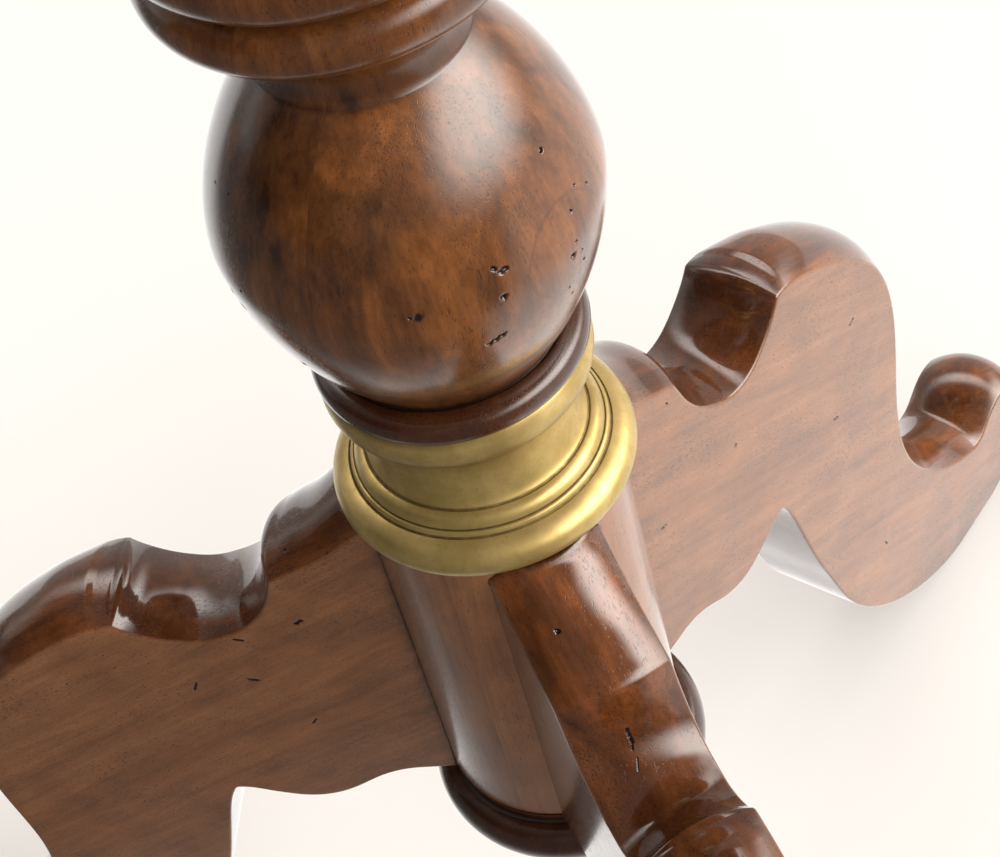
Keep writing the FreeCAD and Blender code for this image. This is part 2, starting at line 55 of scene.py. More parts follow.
# ------------------------------------------------------------------ shared dimensions, millimetres, as in the CAD
RF = 44.45
Z_FLANGE = 7.0 * RF
TABLE_H, TOP_R, TOP_T = 762.0, 330.0, 22.0
HUB_R = 0.875 * RF
LEG_W = 0.405 * RF
LEG_AZ = {"leg_front": -90.0, "leg_right": 30.0, "leg_left": 150.0}
ROD_HOLE_R = 5.5
SPIGOT_R, SHAFT_SPIGOT_R = 14.0, 16.0
Z_UNDER = TABLE_H - TOP_T
Z_BLOCK_BOT = Z_UNDER - 0.4 - 38.0


def zf(u):
    return Z_FLANGE + u * RF


def R(pts):
    return [(r * RF, zf(z)) for r, z in pts]


# ------------------------------------------------------------------ curves
def spline(pts, step):
    """C2 cubic through the points, chord-length spaced, end slopes from the first and last three points."""
    P = np.array(pts, float)
    n = len(P)
    h = np.hypot(*np.diff(P, axis=0).T)
    t = np.concatenate([[0], np.cumsum(h)])
    if n == 2:
        m = max(2, int(math.ceil(t[-1] / step)) + 1)
        u = np.linspace(0, 1, m)[:, None]
        return P[0] * (1 - u) + P[1] * u
    d = np.diff(P, axis=0) / h[:, None]
    T0 = d[0] + (d[0] - d[1]) * h[0] / (h[0] + h[1])
    T1 = d[-1] + (d[-1] - d[-2]) * h[-1] / (h[-1] + h[-2])
    A = np.zeros((n, n))
    b = np.zeros((n, 2))
    A[0, 0], A[0, 1], b[0] = 2 * h[0], h[0], 6 * (d[0] - T0)
    A[-1, -1], A[-1, -2], b[-1] = 2 * h[-1], h[-1], 6 * (T1 - d[-1])
    for i in range(1, n - 1):
        A[i, i - 1], A[i, i], A[i, i + 1] = h[i - 1], 2 * (h[i - 1] + h[i]), h[i]
        b[i] = 6 * (d[i] - d[i - 1])
    M = np.linalg.solve(A, b)
    m = max(2 * n, int(math.ceil(t[-1] / step)) + 1)
    x = np.linspace(0, t[-1], m)
    k = np.clip(np.searchsorted(t, x, "right") - 1, 0, n - 2)
    a1, a0, hk = (x - t[k])[:, None], (t[k + 1] - x)[:, None], h[k][:, None]
    return (M[k] * a0 ** 3 + M[k + 1] * a1 ** 3) / (6 * hk) + (P[k] / hk - M[k] * hk / 6) * a0 + (P[k + 1] / hk - M[k + 1] * hk / 6) * a1


def runs_of(items, step, long_step=None):
    """items as in the CAD outlines; every run comes back as a dense polyline."""
    out, cur = [], items[0]
    for kind, val in items[1:]:
        if kind == "l":
            L = math.hypot(val[0] - cur[0], val[1] - cur[1])
            out.append(spline([cur, val], min(long_step or step, max(step, L / 3))))
            cur = val
        else:
            out.append(spline([cur] + list(val), step))
            cur = val[-1]
    return out


def cut_ends(run, d0, d1):
    s = np.concatenate([[0], np.cumsum(np.hypot(*np.diff(run, axis=0).T))])
    a, b = d0, s[-1] - d1

    def at(x):
        return np.array([np.interp(x, s, run[:, 0]), np.interp(x, s, run[:, 1])])
    keep = (s > a + 1e-9) & (s < b - 1e-9)
    return np.vstack([at(a)[None], run[keep], at(b)[None]])


def outline(runs, fillet, closed=True, turn_min=9.0, n=4, at=None):
    """Joins the runs, rounding each corner between them. at: {run index before the corner: fillet} overrides."""
    m = len(runs)
    lens = [float(np.hypot(*np.diff(r, axis=0).T).sum()) for r in runs]
    cuts = [[0.0, 0.0] for _ in runs]
    corner = {}
    for i in range(m if closed else m - 1):
        j = (i + 1) % m
        a = runs[i][-1] - runs[i][-2]
        b = runs[j][1] - runs[j][0]
        turn = math.degrees(abs(math.atan2(a[0] * b[1] - a[1] * b[0], a @ b)))
        if turn < turn_min:
            continue
        f = (at or {}).get(i, fillet)
        d = min(f, 0.42 * lens[i], 0.42 * lens[j])
        cuts[i][1], cuts[j][0] = d, d
        corner[i] = runs[i][-1]
    pts = []
    rr = [cut_ends(r, c[0], c[1]) if (c[0] or c[1]) else r for r, c in zip(runs, cuts)]
    for i in range(m):
        pts.extend(rr[i][:-1] if (i not in corner and (closed or i < m - 1)) else rr[i])
        if i in corner:
            j = (i + 1) % m
            p0, p1, p2 = rr[i][-1], corner[i], rr[j][0]
            for k in range(1, n):
                u = k / n
                pts.append((1 - u) ** 2 * p0 + 2 * u * (1 - u) * p1 + u * u * p2)
    pts = np.array(pts)
    keep = [0]
    for i in range(1, len(pts)):
        if np.hypot(*(pts[i] - pts[keep[-1]])) > 1e-4:
            keep.append(i)
    pts = pts[keep]
    if closed and np.hypot(*(pts[0] - pts[-1])) < 1e-4:
        pts = pts[:-1]
    return pts


# ------------------------------------------------------------------ meshes
def wobble(P, seed, amp, scale):
    """Slow hand-made unevenness: a sum of a few long waves, in millimetres."""
    rng = np.random.default_rng(seed)
    out = np.zeros(len(P))
    for _ in range(7):
        k = rng.normal(size=3)
        k = k / np.linalg.norm(k) * (2 * math.pi / (scale * rng.uniform(0.6, 1.7)))
        out += np.sin(P @ k + rng.uniform(0, 2 * math.pi))
    return out * amp / 7 ** 0.5


def mesh_object(name, V, F, attrs=None):
    """V in millimetres, F a list of index lists. Outward faces, smooth shading, metres."""
    me = bpy.data.meshes.new(name)
    V = np.asarray(V, float)
    vol = 0.0
    for size in (3, 4):
        q = np.array([f for f in F if len(f) == size], int).reshape(-1, size)
        for k in range(1, size - 1):
            vol += float((V[q[:, 0]] * np.cross(V[q[:, k]], V[q[:, k + 1]])).sum())
    if vol < 0:
        F = [f[::-1] for f in F]
    me.from_pydata((V * MM).tolist(), [], F)
    me.validate()
    for key, val in (attrs or {}).items():
        val = np.asarray(val, np.float32)
        if val.ndim == 1:
            me.attributes.new(key, "FLOAT", "POINT").data.foreach_set("value", val)
        else:
            me.attributes.new(key, "FLOAT_VECTOR", "POINT").data.foreach_set("vector", val.ravel())
    me.polygons.foreach_set("use_smooth", np.ones(len(me.polygons), bool))
    ob = bpy.data.objects.new(name, me)
    SCN.collection.objects.link(ob)
    return ob


def lathe(name, profile, segs, wob=0.0, seed=1, wscale=60.0):
    """Closed profile (r, z) turned about Z. Points on the axis become single vertices."""
    P = np.array(profile, float)
    n = len(P)
    th = np.linspace(0, 2 * math.pi, segs, endpoint=False)
    axis = P[:, 0] < 1e-6
    d1 = np.roll(P, -1, 0) - np.roll(P, 1, 0)
    nr = np.stack([d1[:, 1], -d1[:, 0]], 1)
    nr /= np.maximum(np.linalg.norm(nr, axis=1, keepdims=True), 1e-9)
    area = 0.5 * np.sum(P[:, 0] * np.roll(P[:, 1], -1) - np.roll(P[:, 0], -1) * P[:, 1])
    if area < 0:
        nr = -nr
    V, row = [], []
    for i in range(n):
        if axis[i]:
            row.append([len(V)])
            V.append((0.0, 0.0, P[i, 1]))
            continue
        row.append(list(range(len(V), len(V) + segs)))
        ring = np.stack([P[i, 0] * np.cos(th), P[i, 0] * np.sin(th), np.full(segs, P[i, 1])], 1)
        if wob:
            w = wobble(ring, seed, wob, wscale)
            ring = ring + np.stack([nr[i, 0] * np.cos(th), nr[i, 0] * np.sin(th), np.full(segs, nr[i, 1])], 1) * w[:, None]
        V.extend(ring.tolist())
    F = []
    for i in range(n):
        a, b = row[i], row[(i + 1) % n]
        if len(a) == 1 and len(b) == 1:
            continue
        a2, b2 = np.roll(a, -1), np.roll(b, -1)
        if len(a) == 1:
            F.extend(np.stack([np.full(segs, a[0]), b, b2], 1).tolist())
        elif len(b) == 1:
            F.extend(np.stack([a, np.full(segs, b[0]), a2], 1).tolist())
        else:
            F.extend(np.stack([a, b, b2, a2], 1).tolist())
    return mesh_object(name, V, F)


def coords(ob):
    co = np.zeros(len(ob.data.vertices) * 3, np.float32)
    ob.data.vertices.foreach_get("co", co)
    return co.reshape(-1, 3).astype(float) * 1000.0


def set_attr(ob, key, val):
    val = np.asarray(val, np.float32)
    kind, field = ("FLOAT", "value") if val.ndim == 1 else ("FLOAT_VECTOR", "vector")
    at = ob.data.attributes.get(key) or ob.data.attributes.new(key, kind, "POINT")
    at.data.foreach_set(field, val.ravel())


def seg_dist(P, a, b):
    a, b = np.array(a, float), np.array(b, float)
    ab = b - a
    L = ab @ ab
    if L < 1e-9:
        return np.linalg.norm(P - a, axis=1)
    t = np.clip((P - a) @ ab / L, 0, 1)
    return np.linalg.norm(P - (a + t[:, None] * ab), axis=1)


def distress(ob, marks):
    """marks: (a, b, radius, depth) in millimetres: round holes where a = b, slashes otherwise. Real hollows, cut after the
    mesh has been made finer around each of them. Writes the point attribute mark, 1 at the bottom of a hollow."""
    if not marks:
        set_attr(ob, "mark", np.zeros(len(ob.data.vertices)))
        return
    bm = bmesh.new()
    bm.from_mesh(ob.data)
    co = coords(ob)
    for _ in range(5):
        bm.verts.ensure_lookup_table()
        if len(bm.verts) > len(co):
            co = np.vstack([co, np.array([bm.verts[i].co for i in range(len(co), len(bm.verts))]) * 1000.0])
        goal = np.full(len(co), 1e9)
        for a, b, r, _d in marks:
            mid, ext = (np.array(a) + np.array(b)) / 2, np.linalg.norm(np.array(b) - np.array(a)) / 2 + r * 1.7 + 1.5
            idx = np.nonzero((np.abs(co - mid) < ext).all(1))[0]
            d = seg_dist(co[idx], a, b)
            hit = d < r * 1.7 + 1.0
            goal[idx[hit]] = np.minimum(goal[idx[hit]], max(0.14, r * 0.28) * np.where(d[hit] < r * 1.25, 1.0, 3.0))
        edges = {e for i in np.nonzero(goal < 1e8)[0] for e in bm.verts[int(i)].link_edges}
        edges = [e for e in edges if min(goal[e.verts[0].index], goal[e.verts[1].index]) * 1.4 < e.calc_length() * 1000.0]
        if not edges:
            break
        edges.sort(key=lambda e: e.index)
        bmesh.ops.subdivide_edges(bm, edges=edges, cuts=1, use_grid_fill=True, smooth=0.0)
        bm.verts.index_update()
        bm.edges.index_update()
    bm.normal_update()
    bm.verts.ensure_lookup_table()
    if len(bm.verts) > len(co):
        co = np.vstack([co, np.array([bm.verts[i].co for i in range(len(co), len(bm.verts))]) * 1000.0])
    depth = np.zeros(len(co))
    mark = np.zeros(len(co))
    rng = np.random.default_rng(11)
    for a, b, r, dep in marks:
        mid, ext = (np.array(a) + np.array(b)) / 2, np.linalg.norm(np.array(b) - np.array(a)) / 2 + r * 2.3
        box = np.nonzero((np.abs(co - mid) < ext).all(1))[0]
        d = seg_dist(co[box], a, b)
        near = box[d < r * 2.2]
        d = d[d < r * 2.2]
        ph = rng.uniform(0, 6.28, 3)
        jag = 1 + 0.22 * np.sin(co[near] @ np.array([5.1, 3.3, 4.2]) / r * 0.55 + ph[0]) + 0.12 * np.sin(co[near] @ np.array([-4.0, 7.3, 2.9]) / r * 0.8 + ph[1])
        q = d / (r * jag)
        f = np.clip(1 - q, 0, 1)
        f = f * f * (3 - 2 * f)
        f = np.minimum(f * 1.6, 1.0)
        rim = np.exp(-((q - 1.22) / 0.22) ** 2) * 0.07
        depth[near] += -dep * f + dep * rim
        mark[near] = np.maximum(mark[near], np.clip(1.25 - q * 1.15, 0, 1))
    for i in np.nonzero(depth)[0]:
        v = bm.verts[int(i)]
        v.co = v.co + v.normal * (depth[i] * MM)
    bm.to_mesh(ob.data)
    bm.free()
    ob.data.polygons.foreach_set("use_smooth", np.ones(len(ob.data.polygons), bool))
    set_attr(ob, "mark", mark)


def concavity(P, reach):
    """How hollow the closed outline is at each point, over about reach millimetres each way (0 to 1)."""
    n = len(P)
    seg = np.hypot(*(np.roll(P, -1, 0) - P).T)
    s = np.concatenate([[0], np.cumsum(seg)])
    L = s[-1]
    x3 = np.concatenate([s[:-1] - L, s[:-1], s[:-1] + L])
    P3 = np.vstack([P, P, P])

    def at(x):
        return np.stack([np.interp(x, x3, P3[:, 0]), np.interp(x, x3, P3[:, 1])], 1)
    acc = sum(at(s[:-1] + k * reach) + at(s[:-1] - k * reach) for k in (0.5, 1.0)) / 4
    t = at(s[:-1] + 0.3) - at(s[:-1] - 0.3)
    nr = np.stack([t[:, 1], -t[:, 0]], 1)
    nr /= np.maximum(np.linalg.norm(nr, axis=1, keepdims=True), 1e-9)
    area = 0.5 * np.sum(P[:, 0] * np.roll(P[:, 1], -1) - np.roll(P[:, 0], -1) * P[:, 1])
    if area < 0:
        nr = -nr
    return np.clip(((acc - P) * nr).sum(1) / reach, -1, 1)


def ring_attr(ob, P, values, key):
    """Spreads one value per profile point over a lathe's rings, by the nearest profile point in (r, z)."""
    co = coords(ob)
    q = np.stack([np.hypot(co[:, 0], co[:, 1]), co[:, 2]], 1)
    tree = KDTree(len(P))
    for i, p in enumerate(P):
        tree.insert((p[0], p[1], 0.0), i)
    tree.balance()
    idx = np.fromiter((tree.find((x, z, 0.0))[1] for x, z in q.tolist()), int, len(q))
    set_attr(ob, key, values[idx])


def snap(ob, pts):
    """Moves each point onto the nearest place of the surface."""
    from mathutils.bvhtree import BVHTree
    bm = bmesh.new()
    bm.from_mesh(ob.data)
    tree = BVHTree.FromBMesh(bm)
    bm.free()
    out = []
    for p in pts:
        loc = tree.find_nearest(Vector(p) * MM)[0]
        out.append(tuple(loc * 1000.0))
    return out


def snapped(ob, marks):
    if not marks:
        return []
    q = snap(ob, [p for a, b, _r, _d in marks for p in (a, b)])
    return [(q[2 * i], q[2 * i + 1], m_[2], m_[3]) for i, m_ in enumerate(marks)]


def turned(name, body, items, step, segs, fillet, node=None, wob=0.0, seed=1, marks=(), long_step=None, grain=None, hollow=(2.2, 1.0),
           painted_shade_and_stain=None, at=None, n=4, wscale=60.0, side=0.0, stain_and_shade_patches=()):
    P = outline(runs_of(items, step, long_step), fillet, at=at, n=n)
    P[P[:, 0] < 0.02, 0] = 0.0
    ob = lathe(name, P, segs, wob, seed, wscale)
    distress(ob, snapped(ob, marks))
    c = np.clip(np.maximum(concavity(P, hollow[0]) * 6.0, concavity(P, hollow[1]) * 5.0), 0, 1)
    ring_attr(ob, P, c, "cavity")
    if painted_shade_and_stain is not None:
        ring_attr(ob, P, np.array([painted_shade_and_stain(r, z) for r, z in P]), "painted_shade_and_stain")
    co = coords(ob)
    set_attr(ob, "wco", (co + np.array(grain if grain is not None else (0.0, 0.0, 0.0))) * MM)
    set_attr(ob, "side", np.full(len(co), side))
    set_attr(ob, "tone", sum((amt * np.exp(-(np.linalg.norm(co - np.array(p), axis=1) / rad) ** 2) for p, rad, amt in stain_and_shade_patches), np.zeros(len(co))))
    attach(ob, body)
    if node:
        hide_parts(node)
    return ob


WOOD_SLOT, BRASS_SLOT, STEEL_SLOT = "walnut_brown_lacquer", "antique_brass", "zinc_steel"

# ------------------------------------------------------------------ ball turning
BALL_Z, BALL_R, BALL_LO, BALL_HI, BALL_N = 2.364, 1.167, 1.658, 1.495, 1.625


def ball_r(z):
    u = (BALL_Z - z) / BALL_LO if z < BALL_Z else (z - BALL_Z) / BALL_HI
    return BALL_R * max(0.0, 1 - u ** BALL_N) ** (1 / BALL_N)


BALL_PTS = [(ball_r(z), z) for z in [1.242, 1.30, 1.38, 1.48, 1.60, 1.75, 1.92, 2.10, 2.25, 2.364, 2.48, 2.62, 2.80, 2.98, 3.14, 3.28, 3.40, 3.50]]
ball_items = ([(ROD_HOLE_R, zf(1.036) + 22.0), ("l", (SPIGOT_R + 0.2, zf(1.036) + 22.0)), ("l", (SPIGOT_R + 0.2, zf(1.036)))]
              + [("l", (0.836 * RF, zf(1.036)))]
              + [("s", R([(0.862, 1.060), (0.878, 1.112), (0.870, 1.165), (0.846, 1.204), (0.806, 1.230), (0.756, 1.240)]))]
              + [("l", (0.728 * RF, zf(1.222)))]
              + [("l", (BALL_PTS[0][0] * RF, zf(1.242)))]
              + [("s", R(BALL_PTS[1:]))]
              + [("s", R([(0.592, 3.60), (0.612, 3.72), (0.665, 3.83), (0.76, 3.93), (0.86, 3.975)]))]
              + [("l", (0.895 * RF, zf(3.98)))]
              + [("l", (0.895 * RF, zf(4.012)))]
              + [("s", R([(0.985, 4.040), (1.055, 4.110), (1.083, 4.205), (1.060, 4.300), (1.000, 4.370), (0.955, 4.388)]))]
              + [("l", (0.930 * RF, zf(4.395)))]
              + [("l", (SHAFT_SPIGOT_R + 0.2, zf(4.395))), ("l", (SHAFT_SPIGOT_R + 0.2, zf(4.395) - 22.5)),
                 ("l", (ROD_HOLE_R, zf(4.395) - 22.5)), ("l", (ROD_HOLE_R, zf(1.036) + 22.0))])


def rnd_ball_marks(seed, count, az0, az1, z0, z1, rfun):
    rng = np.random.default_rng(seed)
    out = []
    while len(out) < count:
        az, z = math.radians(rng.uniform(az0, az1)), rng.uniform(z0, z1)
        r0 = rfun(z)
        p = np.array([r0 * math.cos(az), r0 * math.sin(az), z])
        kind = rng.random()
        if kind < 0.62:
            r = rng.uniform(0.35, 0.7)
            out.append((tuple(p), tuple(p), r, r * 0.9))
        else:
            L, tilt = rng.uniform(1.2, 3.6), rng.uniform(-0.9, 0.9)
            t = np.array([-math.sin(az) * math.cos(tilt), math.cos(az) * math.cos(tilt), math.sin(tilt)])
            out.append((tuple(p - t * L / 2), tuple(p + t * L / 2), rng.uniform(0.4, 0.75), rng.uniform(0.25, 0.55)))
    return out


BALL_MARKS = [
    # holes and bruises of the distressed finish: from, to, radius, depth
    ((26.9, -44.3, 415.3), (26.9, -44.3, 415.3), 0.55, 0.55),
    ((28.4, -42.7, 410.5), (28.4, -42.7, 410.5), 0.45, 0.45),
    ((28.9, -41.6, 406.2), (28.9, -41.6, 406.2), 0.45, 0.45),
    ((25.3, -44.9, 412.4), (25.3, -44.9, 412.4), 0.95, 0.8),
    ((22.7, -44.2, 402.0), (22.7, -44.2, 402.0), 0.4, 0.4),
    ((23.6, -42.3, 397.9), (23.6, -42.3, 397.9), 0.4, 0.4),
    ((28.0, -42.6, 423.9), (28.0, -42.6, 423.9), 0.55, 0.5),
    ((31.6, -38.7, 427.8), (31.6, -38.7, 427.8), 0.5, 0.45),
    ((35.6, -36.3, 424.2), (35.6, -36.3, 424.2), 0.5, 0.5),
    ((26.1, -36.8, 441.1), (26.1, -36.8, 441.1), 0.65, 0.6),
    ((3.4, -50.5, 425.6), (3.4, -50.5, 425.6), 0.8, 0.5),
    ((4.9, -50.8, 423.8), (6.4, -50.2, 424.0), 0.75, 0.45),
    ((3.8, -51.7, 416.7), (3.8, -51.7, 416.7), 0.85, 0.7),
    ((-2.5, -49.6, 401.9), (1.6, -50.1, 403.2), 0.72, 0.5),
    ((-17.4, -48.6, 419.8), (-17.4, -48.6, 419.8), 1.15, 0.5),
    ((-19.2, -47.9, 420.2), (-19.2, -47.9, 420.2), 0.5, 0.3),
]


# painted shade: the ring under the ball darkest, the neck under the upper rings a little darker
def ball_painted_shade(r, z):
    if z < zf(1.245):
        return 1.6
    if z > zf(3.55):
        return 0.40
    return 0.0


def ball_rz(z):
    return ball_r((z - Z_FLANGE) / RF) * RF


# lighter and darker patches on the ball: stain clouds, and painted shade in the two large dark ones on its left side;
# centre, radius, lighter or darker
BALL_STAIN_AND_SHADE_PATCHES = [((-15.4, -37.6, 449.6), 9.0, -0.24), ((11.2, -49.1, 426.2), 9.0, 0.16), ((-2.4, -45.0, 441.2), 7.0, -0.10), ((-8.9, -50.8, 412.2), 10.0, 0.16),
               ((31.1, -35.1, 437.0), 12.0, 0.05), ((-34.0, -11.8, 456.7), 14.0, -0.20), ((-45.3, -12.1, 437.0), 14.0, -0.26), ((-11.9, -24.0, 468.5), 2.6, -0.45),
               ((-1.2, -37.7, 454.3), 7.0, 0.10), ((-14.9, -33.9, 458.0), 8.0, 0.08), ((25.3, -44.9, 414.0), 8.0, 0.08)]
ball = turned("ball_turning_turned", "pedestal", ball_items, 0.85, 352, 0.35, node="ball_turning", wob=0.07, seed=3,
              marks=[(a_, b_, r_ * 1.35, d_ * 1.2) for a_, b_, r_, d_ in BALL_MARKS] + rnd_ball_marks(5, 26, 20, 215, 385.0, 455.0, ball_rz), grain=(130.0, 40.0, 0.0), painted_shade_and_stain=ball_painted_shade, long_step=6.0, stain_and_shade_patches=BALL_STAIN_AND_SHADE_PATCHES)

# ------------------------------------------------------------------ upper column
zc1 = Z_BLOCK_BOT
shaft_items = ([(ROD_HOLE_R, zf(4.40) - 22.0), ("l", (SHAFT_SPIGOT_R, zf(4.40) - 22.0)), ("l", (SHAFT_SPIGOT_R, zf(4.40)))]
               + [("l", (0.945 * RF, zf(4.40)))]
               + [("l", (0.985 * RF, zf(4.415)))]
               + [("s", R([(1.065, 4.45), (1.115, 4.53), (1.130, 4.62), (1.112, 4.71), (1.055, 4.79), (0.985, 4.82)]))]
               + [("l", (0.930 * RF, zf(4.825))), ("l", (0.930 * RF, zf(4.875)))]
               + [("l", (0.845 * RF, zf(4.885)))]
               + [("s", R([(0.865, 4.96), (0.930, 5.12), (0.985, 5.34), (0.990, 5.66), (0.945, 6.03), (0.862, 6.45), (0.772, 6.90),
                           (0.700, 7.32), (0.655, 7.66)]))]
               + [("l", (0.700 * RF, zf(7.677)))]
               + [("s", R([(0.762, 7.702), (0.790, 7.762), (0.762, 7.822), (0.700, 7.847)]))]
               + [("l", (0.640 * RF, zf(7.857)))]
               + [("s", R([(0.650, 7.982), (0.700, 8.142), (0.800, 8.282), (0.930, 8.362), (1.010, 8.387)]))]
               + [("l", (1.050 * RF, zf(8.392)))]
               + [("s", R([(1.115, 8.422), (1.150, 8.502), (1.150, 8.622), (1.125, 8.712)]))]
               + [("l", (1.100 * RF, zc1)), ("l", (ROD_HOLE_R, zc1)), ("l", (ROD_HOLE_R, zf(4.40) - 22.0))])
_vr = [0.865, 0.930, 0.985, 0.990, 0.945, 0.862, 0.772, 0.700, 0.655]
_vz = [4.96, 5.12, 5.34, 5.66, 6.03, 6.45, 6.90, 7.32, 7.66]
# painted shade on the rings at both ends, next to the ball and under the block
shaft = turned("column_shaft_turned", "pedestal", shaft_items, 1.1, 320, 0.4, node="column_shaft", wob=0.07, seed=4,
               marks=rnd_ball_marks(6, 22, 0, 360, zf(5.0), zf(7.4), lambda z: float(np.interp((z - Z_FLANGE) / RF, _vz, _vr)) * RF),
               grain=(130.0, 40.0, 0.0), long_step=6.0, painted_shade_and_stain=lambda r, z: 0.3 if (z < zf(4.9) or z > zf(7.67)) else 0.0)

# ------------------------------------------------------------------ brass collar
CIN = 24.6
collar_items = ([(CIN, zf(-0.13))]
                + [("l", (0.90 * RF, zf(-0.13)))]
                + [("s", R([(0.965, -0.095), (1.0, 0.0), (0.975, 0.075), (0.915, 0.13), (0.866, 0.150)]))]
                + [("l", (0.860 * RF, zf(0.142)))]
                + [("s", R([(0.851, 0.158), (0.842, 0.178), (0.828, 0.186)]))]
                + [("l", (0.822 * RF, zf(0.180)))]
                + [("s", R([(0.812, 0.215), (0.790, 0.250), (0.745, 0.275)]))]
                + [("l", (0.735 * RF, zf(0.268)))]
                + [("s", R([(0.712, 0.30), (0.690, 0.37), (0.678, 0.46), (0.676, 0.55), (0.686, 0.635), (0.712, 0.700), (0.742, 0.735)]))]
                + [("l", (0.750 * RF, zf(0.733)))]
                + [("s", R([(0.764, 0.748), (0.774, 0.764), (0.780, 0.782)]))]
                + [("l", (0.768 * RF, zf(0.796)))]
                + [("s", R([(0.806, 0.800), (0.842, 0.826), (0.862, 0.872), (0.868, 0.925), (0.861, 0.980), (0.842, 1.025)]))]
                + [("l", (0.836 * RF, zf(1.032)))]
                + [("l", (CIN, zf(1.032)))]
                + [("l", (CIN, zf(-0.13)))])
# painted shade: darkest in the groove under the top bead, fading down the upper waist and onto the bead's lower half,
# and again at the top edge under the wooden ring
collar = turned("brass_collar_cast", "pedestal", collar_items, 0.42, 352, 0.22, node="brass_collar", wob=0.03, seed=8,
                hollow=(0.9, 0.45), long_step=4.0, wscale=45.0,
                painted_shade_and_stain=lambda r, z: float(np.interp(z, [zf(0.50), zf(0.62), zf(0.70), zf(0.80), zf(0.835), zf(0.90), zf(0.985), zf(1.03)],
                                                   [0.0, 0.25, 0.75, 1.0, 0.55, 0.08, 0.0, 0.55])))

# ------------------------------------------------------------------ hub
hub_items = ([(ROD_HOLE_R, zf(-3.115)), ("l", (HUB_R - 2.2, zf(-3.115)))]
             + [("s", [(HUB_R - 0.8, zf(-3.115) + 0.5), (HUB_R, zf(-3.115) + 2.0)])]
             + [("l", (HUB_R, zf(-0.135))), ("l", (24.4, zf(-0.135))), ("l", (24.4, zf(1.030))), ("l", (SPIGOT_R, zf(1.030))),
                ("l", (SPIGOT_R, zf(1.030) + 20.0)), ("l", (ROD_HOLE_R, zf(1.030) + 20.0)), ("l", (ROD_HOLE_R, zf(-3.115)))])
hub = turned("hub_turned", "pedestal", hub_items, 0.8, 384, 0.3, node="hub", wob=0.05, seed=9, long_step=3.0, grain=(-70.0, 15.0, 0.0), side=1.0)

# ------------------------------------------------------------------ disc and drop under the hub
Z_DISC_BOT, REC_T = zf(-3.64), 14.0
disc_items = ([(ROD_HOLE_R, zf(-3.120)), ("l", (0.865 * RF, zf(-3.120))), ("l", (0.865 * RF, zf(-3.185)))]
              + [("l", (0.885 * RF, zf(-3.195)))]
              + [("s", R([(0.955, -3.225), (1.005, -3.300), (1.023, -3.395), (1.005, -3.490), (0.955, -3.565), (0.885, -3.595)]))]
              + [("l", (0.845 * RF, zf(-3.60))), ("l", (0.845 * RF, Z_DISC_BOT)), ("l", (13.5, Z_DISC_BOT)),
                 ("l", (13.5, Z_DISC_BOT + REC_T)), ("l", (ROD_HOLE_R, Z_DISC_BOT + REC_T)), ("l", (ROD_HOLE_R, zf(-3.120)))])
# painted shade over the whole disc under the hub
disc = turned("base_disc_turned", "pedestal", disc_items, 0.8, 320, 0.35, node="base_disc", wob=0.05, seed=10, long_step=5.0,
              painted_shade_and_stain=lambda r, z: 1.5, grain=(10.0, 90.0, 0.0))
drop_items = ([(5.2, Z_DISC_BOT), ("l", (0.66 * RF, Z_DISC_BOT))]
              + [("s", R([(0.60, -3.68), (0.50, -3.72), (0.455, -3.79)]))]
              + [("l", (0.47 * RF, zf(-3.80)))]
              + [("s", R([(0.525, -3.86), (0.548, -3.96), (0.522, -4.08), (0.430, -4.22), (0.300, -4.34), (0.215, -4.43), (0.190, -4.50)]))]
              + [("s", R([(0.215, -4.55), (0.222, -4.60), (0.190, -4.67), (0.110, -4.715), (0.0, -4.73)]))]
              + [("l", (0.0, Z_DISC_BOT - 13.0)), ("l", (5.2, Z_DISC_BOT - 13.0)), ("l", (5.2, Z_DISC_BOT))])
# painted shade, lighter, over the whole drop
drop = turned("drop_finial_turned", "pedestal", drop_items, 0.8, 256, 0.3, node="drop_finial", wob=0.04, seed=12, long_step=5.0,
              painted_shade_and_stain=lambda r, z: 0.4, grain=(60.0, -50.0, 0.0))

# ------------------------------------------------------------------ legs: outline in (s, z), modules from the column's axis and the flange's plane
TOP_CURVE = [(0.7537, -0.2500), (0.86, -0.33), (1.03, -0.455), (1.15, -0.545), (1.28, -0.63), (1.42, -0.705), (1.56, -0.788)]
NOSE = [(1.60, -0.885), (1.645, -1.00), (1.70, -1.11), (1.767, -1.21), (1.85, -1.30), (1.98, -1.40), (2.126, -1.468), (2.27, -1.50),
        (2.42, -1.4875), (2.58, -1.425), (2.735, -1.325), (2.81, -1.258), (2.866, -1.192)]
KNEE = [(2.96, -1.205), (3.08, -1.245), (3.24, -1.325), (3.46, -1.455), (3.72, -1.635), (3.97, -1.855), (4.18, -2.11), (4.33, -2.41),
        (4.41, -2.76), (4.42, -3.15), (4.38, -3.56), (4.34, -3.98), (4.36, -4.40), (4.47, -4.82), (4.69, -5.22), (5.00, -5.56),
        (5.34, -5.80), (5.62, -5.92)]
TOE = [(5.76, -5.90), (5.90, -5.80), (6.06, -5.72), (6.24, -5.73), (6.40, -5.83), (6.50, -6.00), (6.53, -6.22), (6.49, -6.46),
       (6.38, -6.68), (6.20, -6.84), (5.98, -6.915), (5.80, -6.9325)]
SOLE_IN = (5.20, -6.9325)
ARCH = [(5.00, -6.90), (4.70, -6.80), (4.36, -6.62), (4.02, -6.38), (3.70, -6.08), (3.44, -5.74), (3.24, -5.36), (3.09, -4.96),
        (2.95, -4.58), (2.83, -4.20), (2.735, -3.86), (2.655, -3.58), (2.575, -3.38)]
CORNER = (2.535, -3.312)
